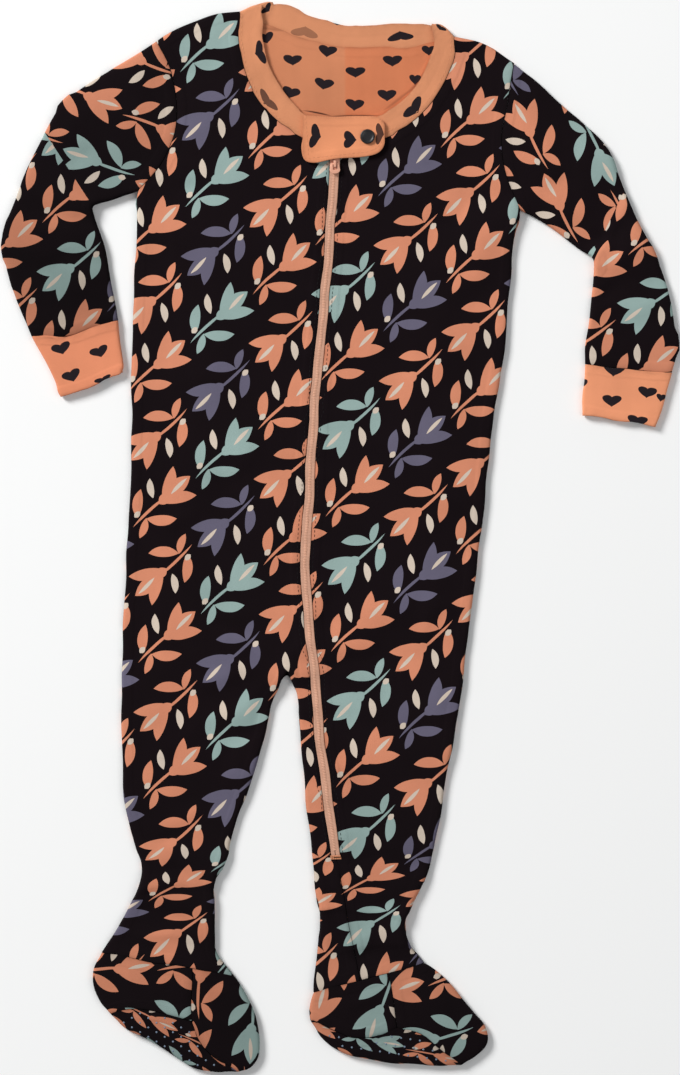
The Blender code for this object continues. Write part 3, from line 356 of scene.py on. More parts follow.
def printJersey(name, spot, turn, size=(1, 1), tones=((0, 1), (-1, 1)), fold=None, ankle=None):
    # fold gives a line, and the spot and turn of the print on its left, where folded cloth
    # hides a wedge of it; tones are painted light and shade, darker where less light falls: a y
    # and the tone above it, and a y and the tone below it
    made, shader = newMaterial(name, roughness=0.95, gloss=0.1)
    plain = millimetres(shader)
    cloth = gathered(plain, *ankle) if ankle else plain
    laid = placed(cloth, spot, turn, size)
    if fold:
        line, foldSpot, foldTurn = fold
        beyond = placed(cloth, foldSpot, foldTurn, size)
        laid = vectorMix(pastLine(plain, line), laid, beyond)
    laid = useGroup(wobble, laid, {"Reach": sprig["wobble"]})["Vector"]
    drawn = useGroup(sprigPrint, laid)
    ink = printColours["coral"]
    for other in ("slate", "aqua"):
        chosen = calc("COMPARE", drawn["Index"], inkOrder[other], 0.5)
        ink = colourMix(chosen, ink, printColours[other])
    colour = colourMix(drawn["Body"], printColours["night"], ink)
    colour = colourMix(drawn["Accent"], colour, printColours["cream"])
    (high, highTone), (low, lowTone) = tones
    # painted light and shade: a brightness that changes from one height to another
    tone = rangeOf(axesOf(plain)["Y"], low, high, lowTone, highTone)
    colourOn(shader, colour, times(clothRelief(shader, plain), tone))
    return made


heartInk = (0.010, 0.005, 0.008)
# painted shadow, a dark brown laid over the cloth's colour
paintedShadowColour = (0.050, 0.012, 0.006)  # in the gap between two layers of the cloth
# each piece's coral, lighter or darker by how much light falls on it there: painted light and shade
knitColoursWithPaintedLight = {
    "cuff_right": (0.72, 0.25, 0.128), "cuff_left": (0.79, 0.300, 0.152),
    "facing": (0.573, 0.210, 0.100), "beyondCrease": (0.595, 0.187, 0.082),
    "band": (0.637, 0.254, 0.124), "guard": (0.74, 0.278, 0.132),
}
toneEdge = 1.2  # half the width over which one tone of the cloth turns to the next


def heartJersey(name, ground, hearts, ridge=0.2, tones=None, lines=()):
    # each heart: x, y, turn, half width, half height and ink left
    # tones are an x and the cloth's colour beyond it, a step in colour at a crease
    # each line of painted shadow: x, y, turn, half length, half width, bend and strength
    made, shader = newMaterial(name, roughness=0.92, gloss=0.2, sheen=0.05)
    plain = millimetres(shader)
    drawn = useGroup(wobble, plain, {"Reach": 1.2, "Scale": 0.12})["Vector"]
    mask = None
    for x, y, tilt, halfWidth, halfHeight, *left in hearts:
        seen = placed(drawn, (x, y), tilt, (halfWidth, halfHeight))
        one = useGroup(heart, seen)["Mask"]
        if left:
            one = times(one, left[0])
        mask = calc("MAXIMUM", mask, one) if mask else one
    if tones:
        start, end = tones[0] - toneEdge, tones[0] + toneEdge
        edge = rangeOf(axesOf(drawn)["X"], start, end, kind="SMOOTHSTEP")
        ground = colourMix(edge, ground, tones[1])
    colour = colourMix(mask, ground, heartInk)
    # painted shadow along each line
    for x, y, tilt, halfLength, halfWidth, bend, strength in lines:
        seen = placed(plain, (x, y), tilt, (halfLength, halfWidth))
        soft = useGroup(leaf, seen, {"Bend": bend})["Soft"]
        colour = colourMix(times(soft, strength), colour, paintedShadowColour)
    colourOn(shader, colour, clothRelief(shader, plain, depth=0.09, ridge=ridge, pucker=0.5))
    return made


tapeWeave = {"rib": 0.9, "yarn": 0.6, "share": 0.3, "depth": 0.05}


def wovenTape(name, colour):
    # fine ribs across a woven tape
    made, shader = newMaterial(name, roughness=0.7, sheen=0.05)
    plain = millimetres(shader)
    seen = axesOf(plain)
    ribs = calc("SINE", times(seen["Y"], 2 * math.pi / tapeWeave["rib"]))
    weave = calc("SINE", times(seen["X"], 2 * math.pi / tapeWeave["yarn"]))
    height = times(calc("MULTIPLY_ADD", weave, tapeWeave["share"], ribs), tapeWeave["depth"])
    reliefOn(shader, height, 0.8)
    colourOn(shader, colour, calc("MULTIPLY_ADD", noiseOf(plain, 0.09, 4.0)[0], 0.3, 0.85))
    return made


def mottled(name, colours, roughness, grain, **settings):
    # a colour and a roughness that both follow one noise; grain is its scale and detail
    made, shader = newMaterial(name, roughness[0], **settings)
    noise = noiseOf(millimetres(shader), *grain)[0]
    plug(rangeOf(noise, 0.0, 1.0, *roughness), shader.inputs["Roughness"])
    plug(colourMix(noise, *colours), shader.inputs["Base Color"])
    return made


def satinPaint(name, colour):
    # paint over cast metal, thinner and darker where it has rubbed
    worn = tuple(0.8 * value for value in colour)
    return mottled(name, (colour, worn), (0.28, 0.5), (0.9, 6.0), metallic=0.1, coat=0.5)


def glossMaterial(name, colour, roughness, coat=0.0):
    # moulded plastic or silicone, with faint handling marks
    lighter = tuple(min(1.0, value * 1.25 + 0.002) for value in colour)
    return mottled(name, (colour, lighter), (roughness, roughness + 0.2), (0.7, 5.0), coat=coat)


def threadMaterial(name, colour):
    made, shader = newMaterial(name, roughness=0.8, gloss=0.2)
    values = {"Vector": millimetres(shader), "Scale": 1.6, "Distortion": 1.0}
    twist = addNode(shader, "TexWave", values).outputs["Fac"]
    dark = tuple(0.7 * value for value in colour)
    plug(colourMix(twist, dark, colour), shader.inputs["Base Color"])
    return made


# Creases: x0, y0, x1, y1, height of the ridge or depth of the trough, and width

frontCreases = (
    (-60, 300, -92, 262, 0.5, 8), (-75, 318, -104, 296, -0.4, 7), (52, 288, 86, 252, 0.45, 8),
    (70, 300, 96, 286, -0.35, 7), (-118, 236, -64, 214, -0.6, 7), (-126, 208, -88, 150, 0.5, 8),
    (-100, 244, -62, 232, 0.35, 6), (104, 224, 58, 204, -0.55, 7), (100, 196, 72, 150, 0.5, 8),
    (84, 236, 50, 226, 0.3, 6), (-120, 120, -76, 96, 0.45, 10), (-70, 140, -36, 118, -0.35, 9),
    (22, 132, 62, 108, 0.4, 10), (92, 110, 58, 84, -0.35, 8), (-132, 20, -92, 4, 0.5, 8),
    (-84, 44, -40, 26, -0.4, 9), (20, 66, 60, 42, 0.45, 9), (86, 30, 54, 10, 0.4, 8),
    (-62, 70, -44, -6, 0.4, 11), (44, 0, 70, -54, 0.4, 9), (-136, -50, -96, -84, 0.5, 9),
    (-44, -84, -84, -48, -0.7, 6), (-40, -90, -112, -92, 0.6, 7), (-46, -100, -96, -128, 0.6, 7),
    (-52, -114, -80, -150, -0.45, 6), (-30, -82, -8, -34, 0.6, 6), (-26, -96, 24, -76, -0.6, 6),
    (-22, -110, 34, -110, 0.55, 7), (-22, -130, 20, -160, 0.4, 7), (76, -40, 40, -72, 0.4, 8),
    (74, -100, 44, -122, 0.4, 8), (-138, -118, -104, -138, 0.45, 9),
    (-134, -176, -88, -186, 0.5, 6), (-136, -196, -92, -200, -0.5, 5),
    (-126, -216, -90, -226, -0.6, 5), (-132, -244, -88, -250, -0.55, 5),
    (-146, -258, -92, -262, 0.6, 6), (-14, -190, 30, -200, 0.45, 6), (10, -210, 56, -214, -0.5, 5),
    (-10, -238, 38, -242, -0.55, 5), (-12, -262, 34, -264, 0.55, 6), (0, -276, 40, -276, -0.45, 5),
    (-128, 300, -150, 258, 0.5, 8), (-136, 244, -180, 252, -0.5, 7),
    (-164, 280, -186, 268, 0.35, 7), (-160, 205, -206, 214, -0.8, 5),
    (-156, 200, -200, 202, 0.7, 5), (-154, 182, -206, 178, -0.6, 5), (-152, 170, -196, 162, 0.6, 6),
    (-150, 152, -200, 150, -0.4, 5), (-148, 142, -196, 136, 0.45, 5), (124, 292, 132, 248, 0.45, 8),
    (130, 232, 158, 226, -0.5, 7), (150, 262, 172, 244, 0.4, 7), (162, 190, 192, 206, -0.8, 5),
    (168, 176, 202, 190, 0.7, 5), (166, 158, 210, 172, -0.6, 5), (164, 146, 208, 154, 0.55, 6),
    (164, 134, 212, 138, -0.4, 5), (162, 122, 214, 124, 0.4, 5),
    (-150, -282, -128, -300, 0.4, 6), (-100, -290, -72, -300, 0.45, 6),
    (-120, -296, -96, -312, -0.4, 6), (-80, -312, -62, -330, 0.45, 6),
    (-98, -330, -80, -344, -0.35, 5), (-138, -306, -118, -320, 0.35, 5),
    (0, -296, 26, -312, 0.45, 6), (40, -288, 66, -302, 0.5, 6), (28, -308, 50, -326, -0.4, 6),
    (62, -306, 84, -326, 0.4, 6), (10, -326, 36, -336, -0.35, 5), (56, -332, 78, -338, 0.35, 5),
)
backCreases = (
    (-90, 260, -40, 180, 0.5, 9), (70, 250, 36, 190, 0.5, 9), (-110, 120, -50, 90, 0.45, 9),
    (80, 100, 20, 60, 0.45, 10), (-60, 40, -20, -60, 0.5, 10), (60, -20, 20, -80, 0.5, 9),
    (-120, -60, -60, -90, 0.5, 8), (-36, -96, -90, -140, 0.55, 8), (-30, -96, 30, -130, 0.55, 8),
    (-130, -190, -90, -200, 0.5, 7), (-10, -200, 50, -212, 0.5, 7), (-130, -236, -88, -240, 0.5, 6),
    (-10, -246, 40, -250, 0.5, 6), (0, 300, 6, 120, 0.35, 12), (-150, 270, -190, 240, 0.5, 8),
    (-155, 205, -205, 215, 0.55, 6), (-150, 180, -205, 180, 0.5, 6), (140, 260, 170, 230, 0.5, 8),
    (160, 180, 200, 200, 0.55, 6), (165, 150, 210, 160, 0.5, 6), (-140, -300, -80, -320, 0.4, 7),
    (10, -310, 70, -320, 0.4, 7),
)
facingCreases = (
    (3.2, 322, 4.2, 274, 0.42, 2.6), (-30, 318, -46, 300, 0.2, 5), (30, 300, 48, 306, 0.2, 5),
)
# Laps: x0, y0, x1, y1, the height of the fold's edge on the line's left, and how far it slopes
# down behind
laps = (
    (-160, 215, -193, 264, 1.2, 9), (188, 229, 165, 182, 1.2, 9), (-132, -233, -84, -229, 1.1, 8),
    (-13, -245, 42, -251, 1.1, 8), (-128, -262, -96, -266, 0.7, 6), (4, -272, 40, -268, 0.7, 6),
)
calm = {"spot": (-1, 262), "reach": 40}  # round the slider, guard and snap nothing is creased
creaseShape = {"gain": 1.5, "sway": 0.55, "bends": 2.4, "ends": 1.6}
lapShape = {"bow": 0.05, "edge": 0.55, "ends": 6}
underRise = 0.7  # the most that a crease lifts the layer on the floor
midHeight = 2.25  # of the outline's turn; the top layer lies above it, the floor layer below
# Sway of the cloth as it lies: how far, along x and along y, and the waves' length on x, on y
# and their start
sways = (
    (0.24, 0.10, 17, 9, 0.7), (0.20, -0.10, -29, 6, 2.1), (0.10, 0.35, 8, 21, 1.9),
    (-0.10, 0.30, 5.5, -33, 0.4), (0.10, 0.10, 3.7, 4.3, 1.1),
)


def alongLine(x, y, x0, y0, x1, y1):
    # the line's length, and how far each point is along it, to its left and past its ends
    length = math.hypot(x1 - x0, y1 - y0)
    way = ((x1 - x0) / length, (y1 - y0) / length)
    run = (x - x0) * way[0] + (y - y0) * way[1]
    left = way[0] * (y - y0) - way[1] * (x - x0)
    return length, run, left, np.maximum(np.maximum(-run, run - length), 0)


def creaseRise(x, y, creases):
    total = np.zeros_like(x)
    for number, (x0, y0, x1, y1, height, width) in enumerate(creases):
        length, run, left, past = alongLine(x, y, x0, y0, x1, y1)
        share = np.clip(run / length, 0, 1)
        bend = np.sin(creaseShape["bends"] * math.pi * share + 1.7 * number)
        aside = left + creaseShape["sway"] * width * bend
        swell = (0.55 + 0.45 * np.sin(math.pi * share)) * (1 + 0.25 * np.cos(7 * share + number))
        beyond = past / (creaseShape["ends"] * width)
        near = np.exp(-((aside / width) ** 2) - beyond**2)
        total += creaseShape["gain"] * height * swell * near
    return total


def lapRise(x, y):
    total = np.zeros_like(x)
    for x0, y0, x1, y1, height, fall in laps:
        length, run, left, past = alongLine(x, y, x0, y0, x1, y1)
        bow = np.sin(math.pi * np.clip(run / length, 0, 1))
        behind = left - lapShape["bow"] * length * bow
        edge = 1 / (1 + np.exp(-behind / lapShape["edge"]))
        beyond = past / lapShape["ends"]
        total += height * edge * np.exp(-np.maximum(behind, 0) / fall - beyond**2)
    return total


def calmShare(x, y):
    away = np.hypot(x - calm["spot"][0], y - calm["spot"][1]) / calm["reach"]
    return 1 - np.exp(-(away**6))


def swayed(x, y):
    # where a point of the flat pattern has come to lie
    share = calmShare(x, y)
    phases = [x / waveX + y / waveY + start for _, _, waveX, waveY, start in sways]
    right = sum(sway[0] * np.sin(phase) for sway, phase in zip(sways, phases))
    up = sum(sway[1] * np.sin(phase) for sway, phase in zip(sways, phases))
    return x + share * right, y + share * up


tapeRow = 0.06  # how far points of one row may lie from its height


def coordinates(mesh):
    flat = np.empty(len(mesh.vertices) * 3)
    mesh.vertices.foreach_get("co", flat)
    return flat.reshape(-1, 3)


def tapeMiddle():
    # the zip's line from its two tapes: heights and x, from the bottom up
    tapes = [coordinates(solids["zip_tape_" + side].data) / mm for side in ("left", "right")]
    line = []
    for y in sorted({round(float(point[1]), 1) for point in tapes[0]}):
        near, far = (tape[abs(tape[:, 1] - y) < tapeRow, 0] for tape in tapes)
        if len(near) and len(far):
            line.append((y, (near.max() + far.min()) / 2))
    return np.array(line)


zipLine = tapeMiddle()
# Ripples where the cloth is sewn to the zip; clear is half the width that stays flat, and the
# fades are at the lower and the upper end
zipWave = {
    "height": 0.3, "length": 19.0, "reach": 11.0, "top": 236.0, "clear": 3.2, "fades": (25, 30),
}
puckerReach = 3.2


def zipX(y):
    return np.interp(y, zipLine[:, 0], zipLine[:, 1])


def zipRise(x, y):
    away = np.maximum(np.abs(x - zipX(y)) - zipWave["clear"], 0)
    lower, upper = zipWave["fades"]
    inside = np.clip((y - zipLine[0, 0]) / lower, 0, 1)
    inside = inside * np.clip((zipWave["top"] - y) / upper, 0, 1)
    phase = 2 * math.pi * y / zipWave["length"] + 1.3 * np.sin(y / 31)
    return zipWave["height"] * np.sin(phase) * np.exp(-away / zipWave["reach"]) * inside


def puckers(x, y, distance, height):
    # short ripples where a seam draws the cloth together
    waves = np.sin(x / 0.93 + 1.7 * np.sin(y / 7)) * np.sin(y / 0.87 + 1.4 * np.sin(x / 6))
    waves = waves + 0.6 * np.sin(x / 1.9 - y / 2.3)
    return height * waves * np.exp(-distance / puckerReach)


def settle(name, x, y, z, distance, pucker):
    # heights in millimetres after creasing; both faces of a wall move together
    if name == "back_neck_facing":
        return z + creaseRise(x, y, facingCreases)
    top = np.clip((z - midHeight) / midHeight, 0, 1)
    floor = np.clip((midHeight - z) / midHeight, 0, 1)
    share = calmShare(x, y)
    front = share * (creaseRise(x, y, frontCreases) + lapRise(x, y)) + zipRise(x, y)
    front += (0.25 + 0.75 * share) * puckers(x, y, distance, pucker)
    under = share * np.clip(creaseRise(x, y, backCreases), 0, underRise)
    return z + top * front + floor * under


# Cloth pieces: subdivision level, edge rounding, puckers, cut (width, length and area of what
# shows) and what each lies on

usualCloth = {"level": 2, "edge": 0.35, "pucker": 0.09, "on": []}
clothPieces = {
    "back": {"edge": 0.3, "cut": (0.274, 0.645, 0.129)},
    "front_right": {"level": 3, "cut": (0.170, 0.645, 0.0640), "on": ["back"]},
    "front_left": {"level": 3, "cut": (0.140, 0.620, 0.0550), "on": ["back"]},
    "sleeve_right": {"cut": (0.185, 0.200, 0.0248)},
    "sleeve_left": {"cut": (0.170, 0.205, 0.0214)},
    "cuff_right": {"level": 3, "edge": 0.5, "pucker": 0.22, "cut": (0.114, 0.038, 0.0040)},
    "cuff_left": {"level": 3, "edge": 0.5, "pucker": 0.22, "cut": (0.114, 0.038, 0.0038)},
    "neckband": {
        "level": 3, "edge": 0.7, "pucker": 0.16, "cut": (0.375, 0.017, 0.0060), "on": ["back"],
    },
    "back_neck_facing": {"edge": 0.3, "cut": (0.128, 0.075, 0.0054), "on": ["back"]},
    "zip_guard": {"level": 3, "edge": 0.7, "cut": (0.054, 0.031, 0.0015), "on": ["neckband"]},
    "zip_tape_right": {"edge": 0.25, "cut": (0.010, 0.485, 0.0020)},
    "zip_tape_left": {"edge": 0.25, "cut": (0.010, 0.485, 0.0020)},
    "heel_right": {"cut": (0.105, 0.055, 0.0045)},
    "heel_left": {"cut": (0.105, 0.045, 0.0037)},
    "vamp_right": {"cut": (0.095, 0.070, 0.0046)},
    "vamp_left": {"cut": (0.105, 0.075, 0.0051)},
    "sole_right": {"level": 3, "cut": (0.095, 0.050, 0.0030)},
    "sole_left": {"level": 3, "cut": (0.105, 0.045, 0.0031)},
}
clothPieces = {name: {**usualCloth, **facts} for name, facts in clothPieces.items()}
# Where each sleeve is folded over itself at the elbow: the lower sleeve lies on the line's left
elbowFolds = {"right": ((-162, 217), (-192, 263)), "left": ((187, 228), (165, 183))}
# painted light and shade: the torso a little brighter, the legs and feet darker where less light
# falls
legPaintedLight = ((-130, 1.03), (-270, 0.86))
clothLooks = {
    "back": printJersey("printBack", (11, 5), 128, tones=legPaintedLight),
    "front_right": printJersey(
        "printFront", (0, 0), 38, tones=legPaintedLight, ankle=(-196, -262, 30)
    ),
    # the right sleeve's tones are painted shade, darker towards the wrist
    "sleeve_right": printJersey(
        "printSleeveRight", (-150, 262), -24, tones=((320, 0.94), (170, 0.68)),
        fold=(elbowFolds["right"], (-186, 192), 36),
    ),
    "sleeve_left": printJersey(
        "printSleeveLeft", (152, 246), 112, fold=(elbowFolds["left"], (196, 170), 30)
    ),
    "cuff_right": heartJersey("heartsCuffRight", knitColoursWithPaintedLight["cuff_right"], (
        (-181.9, 122.2, 18, 6.4, 3.2), (-157.0, 120.0, 20, 6.3, 3.1),
        (-175.2, 104.3, 22, 6.3, 3.2), (-154.9, 102.4, 22, 5.8, 1.7),
    )),
    "cuff_left": heartJersey("heartsCuffLeft", knitColoursWithPaintedLight["cuff_left"], (
        (178.1, 87.8, -4, 6.4, 3.2), (201.2, 93.4, -8, 6.3, 3.2), (194.6, 74.6, -8, 6.8, 3.1),
        (210.2, 90.2, -10, 3.2, 2.2), (179.4, 108.2, -6, 7.2, 4.0), (158.2, 99.4, -10, 3.6, 2.8),
    )),
    "back_neck_facing": heartJersey("heartsFacing", knitColoursWithPaintedLight["facing"], (
        (-48.2, 325.8, 14, 5.4, 2.9), (-31.0, 311.4, 0, 6.1, 2.9), (-8.1, 317.2, -6, 6.2, 3.1),
        (10.2, 303.4, 0, 6.6, 2.9), (34.5, 310.7, 0, 6.4, 3.1), (58.4, 317.8, 0, 4.6, 2.7),
        (-32.3, 290.0, -15, 6.0, 3.1), (-10.7, 295.7, -10, 6.4, 3.0), (9.6, 281.9, -5, 6.2, 3.2),
        (30.9, 288.2, 0, 6.3, 3.2), (49.4, 298.6, 0, 3.9, 2.8),
    ), tones=(3.4, knitColoursWithPaintedLight["beyondCrease"]), lines=(
        # the lines are painted shadow along the guard's top edge and along the band's edges
        (-14.8, 277.7, -11, 10.8, 0.8, 0.5, 1.3), (9.3, 276.0, 1, 18.5, 1.0, 0.0, 1.0),
        (50.0, 299.2, 50, 14.0, 1.9, -0.9, 0.5), (37.0, 286.4, 38, 12.0, 1.6, -0.4, 0.45),
        (-47.0, 333.2, -8, 12.0, 1.6, 0.0, 0.35),
    )),
    "neckband": heartJersey("heartsBand", knitColoursWithPaintedLight["band"], (
        (-53.5, 317.0, -74, 8.0, 2.6), (-48.2, 285.0, -51, 9.0, 2.5, 0.8),
        (49.6, 279.8, 50, 8.6, 3.2), (39.5, 329.6, 187, 8.6, 2.6),
        (-22.7, 332.5, 170, 9.0, 3.0, 0.5), (-47.4, 345.6, 48, 4.6, 1.7),
        # the last two are small dark marks at the band's top edge, drawn with the heart's shape
        (-1.5, 336.3, -8, 3.5, 1.0), (65.8, 332.8, -30, 4.0, 1.3),
    ), ridge=0.06),
    "zip_guard": heartJersey("heartsGuard", knitColoursWithPaintedLight["guard"], (
        (-14.7, 262.0, 80, 8.0, 3.0), (8.1, 259.9, 88, 5.65, 3.45),
        (27.1, 263.7, 88, 7.0, 2.3, 0.9),
    )),
    "zip_tape_right": wovenTape("tapeWoven", (0.56, 0.295, 0.195)),
}
for twin, first in (("front_left", "front_right"), ("zip_tape_left", "zip_tape_right")):
    clothLooks[twin] = clothLooks[first]
# painted shade: the feet darker where less light falls
footPaintedShade = {"right": 0.79, "left": 0.82}
footPrints = {
    "heel_right": ((-120, -300), 2), "heel_left": ((10, -300), 66),
    "vamp_right": ((-76, -318), 84), "vamp_left": ((60, -310), 12),
    "sole_right": ((-110, -332), -28, (0.8, 0.5)), "sole_left": ((20, -338), 166, (0.8, 0.5)),
}
for name, laid in footPrints.items():
    tone = footPaintedShade[name[5:]]
    lookName = "print" + name.title().replace("_", "")
    clothLooks[name] = printJersey(lookName, *laid, tones=((0, tone), (-1, tone)))
print("materials made")


sharpEdge = 60  # degrees between faces at a cut edge of the cloth
sharpCorner = 50  # degrees that a cut edge turns at a corner
edgeLean = 0.6  # normals that rise less than this lie at the outline
joining = {"flat": 0.3, "faces": 35, "shapes": 50}  # degrees up to which faces become one
weldReach = 0.01 * mm
rimStep = 1.5 * mm
outlineFit = {"reach": 5.0, "still": 0.5, "batch": 4000}  # for drawing a smooth form back out


def isSharp(edge):
    return len(edge.link_faces) == 2 and edge.calc_face_angle() > math.radians(sharpEdge)


def isCorner(vertex):
    # a corner of the cut edge: two of its edges meet there at an angle
    ways = [edge.other_vert(vertex).co - vertex.co for edge in vertex.link_edges if isSharp(edge)]
    return len(ways) == 2 and ways[0].angle(ways[1]) < math.radians(180 - sharpCorner)


def onOutline(vertex):
    return abs(vertex.normal.z) < edgeLean or any(isSharp(edge) for edge in vertex.link_edges)


# Where a piece lies a little off its smoothed form: x and y of the middle, reach along both,
# shift along both, and the height above which it moves
legNudges = (
    (-34.6, -93, 3.5, 5, 0, 4.0, 0), (-31, -101, 4, 16, 1.7, 0, 0),
    (-37.5, -95, 3.5, 5, -1.2, 0, 0), (-57, -147, 12, 40, 1.6, -0.4, 0),
)
leftNudges = (
    (99, 319, 22, 10, 0.6, 1.4, 0), (106, 130, 12, 60, 1.1, 0, 0), (88, -30, 12, 70, 1.1, 0, 0),
)
wristNudges = {
    "right": (-180, 136, 16, 12, 0, -5.0, 0), "left": (206, 112, 14, 10, -0.6, -3.0, 0),
}
nudges = {
    "neckband": (
        (-43, 350, 9, 12, -7.2, -2.2, 2.4), (61.2, 337.8, 4, 3, -0.3, -1.9, 0),
        (0, 338, 30, 6, 0, 0.9, 0), (-43.2, 351, 2.5, 3, 0, -0.9, 0), (48, 337, 12, 5, 0, 1.2, 0),
    ),
    "front_right": legNudges,
    "front_left": leftNudges,
    "back": legNudges + leftNudges,
    "cuff_right": (
        wristNudges["right"], (-141.5, 107.5, 2.2, 2.2, -1.4, 0.7, 0),
        (-182.5, 94, 4, 5, -1.5, 0, 0),
    ),
    "sleeve_right": (wristNudges["right"],),
    "cuff_left": (wristNudges["left"], (212, 90, 8, 18, 1.5, 0, 0)),
    "sleeve_left": (
        wristNudges["left"], (180, 243, 12, 28, 1.2, 0.4, 0), (211, 155, 12, 28, 1.4, 0, 0),
    ),
    "back_neck_facing": ((0, 326, 400, 25, 0, 1.2, 0),),
}
nudgeFade = 0.4  # below the height above which a nudge moves the cloth


def nudged(name, x, y, z):
    for middleX, middleY, reachX, reachY, shiftX, shiftY, least in nudges.get(name, ()):
        near = np.exp(-(((x - middleX) / reachX) ** 2) - ((y - middleY) / reachY) ** 2)
        near *= np.clip((z - least) / nudgeFade + 1, 0, 1)
        x, y = x + near * shiftX, y + near * shiftY
    return x, y


def linked(name, data):
    made = bpy.data.objects.new(name, data)
    bpy.context.scene.collection.objects.link(made)
    return made


def meshOf(name, shape):
    made = bpy.data.meshes.new(name)
    shape.to_mesh(made)
    shape.free()
    return made


def solidShape(name, flat, thin):
    # a solid with its flat faces joined and, when thin, without the points amid them
    shape = bmesh.new()
    shape.from_mesh(solids[name].data)
    bmesh.ops.remove_doubles(shape, verts=shape.verts, dist=weldReach)
    angle, inner = math.radians(flat), shape.verts if thin else []
    bmesh.ops.dissolve_limit(shape, angle_limit=angle, verts=inner, edges=shape.edges)
    return shape


def evaluated(source, modifiers):
    # a plain mesh of what modifiers make of a source; each has its settings under its kind
    helper = linked("helper", source)
    for kind, settings in modifiers.items():
        modifier = helper.modifiers.new(kind, kind)
        for name, value in settings.items():
            if hasattr(modifier, name):
                setattr(modifier, name, value)
            else:
                modifier[name] = value
    graph = bpy.context.evaluated_depsgraph_get()
    mesh = bpy.data.meshes.new_from_object(helper.evaluated_get(graph))
    bpy.data.objects.remove(helper)
    return mesh


def rounding(width):
    # rounds the cut edges of a mesh
    angle = math.radians(sharpEdge)
    return {"width": width * mm, "segments": 2, "limit_method": "ANGLE", "angle_limit": angle}


def drawOut(mesh, wanted, drawnIn, ways):
    # smoothing draws a mesh in from its outline; this moves what is near it back outwards,
    # each point its own way
    short = ((wanted - drawnIn)[:, :2] * ways).sum(axis=1)[:, None] * ways
    points = coordinates(mesh)
    for start in range(0, len(points), outlineFit["batch"]):
        some = points[start:start + outlineFit["batch"], :2]
        away = (some[:, None] - drawnIn[None, :, :2]) / mm / outlineFit["reach"]
        weights = np.exp(-(away**2).sum(axis=2))
        some += weights @ short / np.maximum(weights.sum(axis=1), outlineFit["still"])[:, None]
    mesh.vertices.foreach_set("co", points.ravel())


def markSeamDistance(mesh, rim):
    # how far each point of the cloth is from its nearest seam or cut edge, in millimetres
    tree = kdtree.KDTree(len(rim))
    for number, point in enumerate(rim):
        tree.insert(point, number)
    tree.balance()
    distances = np.array([tree.find(vertex.co)[2] / mm for vertex in mesh.vertices])
    marks = mesh.attributes.new("seamDistance", "FLOAT", "POINT")
    marks.data.foreach_set("value", distances)
    return distances


def rimPoints(shape):
    points = []
    for edge in shape.edges:
        if isSharp(edge):
            a, b = (vertex.co for vertex in edge.verts)
            count = max(1, int((b - a).length / rimStep))
            points += [a.lerp(b, n / count) for n in range(count)]
    return points


def linkPiece(name, mesh, made, riding=body, solid=None):
    # solid names the one that the piece stands in for
    mesh.materials.clear()
    mesh.materials.append(made)
    piece = linked(name, mesh)
    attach(piece, riding)
    if solid:
        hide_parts(solid)
    return piece


def makeCloth(name, facts):
    shape = solidShape(name, joining["flat"], thin=False)
    bmesh.ops.triangulate(shape, faces=shape.faces, quad_method="BEAUTY", ngon_method="BEAUTY")
    bmesh.ops.join_triangles(
        shape, faces=shape.faces, angle_face_threshold=math.radians(joining["faces"]),
        angle_shape_threshold=math.radians(joining["shapes"]),
    )
    crease = shape.edges.layers.float.new("crease_edge")
    corner = shape.verts.layers.float.new("crease_vert")
    for edge in shape.edges:
        edge[crease] = float(isSharp(edge))
    for vertex in shape.verts:
        vertex[corner] = float(isCorner(vertex))
    shape.normal_update()
    edgeVertices = [vertex for vertex in shape.verts if onOutline(vertex)]
    outline = [vertex.index for vertex in edgeVertices]
    ways = np.array([vertex.normal.xy.normalized() for vertex in edgeVertices])
    rim = rimPoints(shape)
    base = meshOf(name, shape)
    smooth = {"SUBSURF": {"levels": facts["level"], "render_levels": facts["level"]}}
    mesh = evaluated(base, {**smooth, "BEVEL": rounding(facts["edge"])})
    forms = (base, evaluated(base, smooth))
    drawOut(mesh, *(coordinates(form)[outline] for form in forms), ways)
    distance = markSeamDistance(mesh, rim)
    points = coordinates(mesh) / mm
    x, y, z = points.T.copy()
    points[:, 2] = np.maximum(settle(name, x, y, z, distance, facts["pucker"]), 0)
    points[:, 0], points[:, 1] = swayed(*nudged(name, x, y, z))
    mesh.vertices.foreach_set("co", (points * mm).ravel())
    mesh.shade_smooth()
    return linkPiece("cloth_" + name, mesh, clothLooks[name], solid=name)


cloth = {name: makeCloth(name, facts) for name, facts in clothPieces.items()}
print("cloth pieces made")


# Heights on the finished cloth, for what is sewn on

rayStart = 0.05  # above the cloth, in metres


def surfaceOf(names):
    points, faces = [], []
    for name in names:
        mesh, start = cloth[name].data, len(points)
        points += [vertex.co.copy() for vertex in mesh.vertices]
        faces += [[start + v for v in face.vertices] for face in mesh.polygons]
    return BVHTree.FromPolygons(points, faces)


hidden = ("back", "back_neck_facing", "zip_guard")
topCloth = surfaceOf([name for name in clothPieces if name not in hidden])
guardCloth = surfaceOf(["zip_guard"])


def onCloth(surface, x, y, lift=0.0):
    # the point of the cloth below x and y, in metres
    hit = surface.ray_cast(Vector((x * mm, y * mm, rayStart)), Vector((0, 0, -1)))[0]
    return Vector((x * mm, y * mm, hit.z + lift * mm)) if hit else None


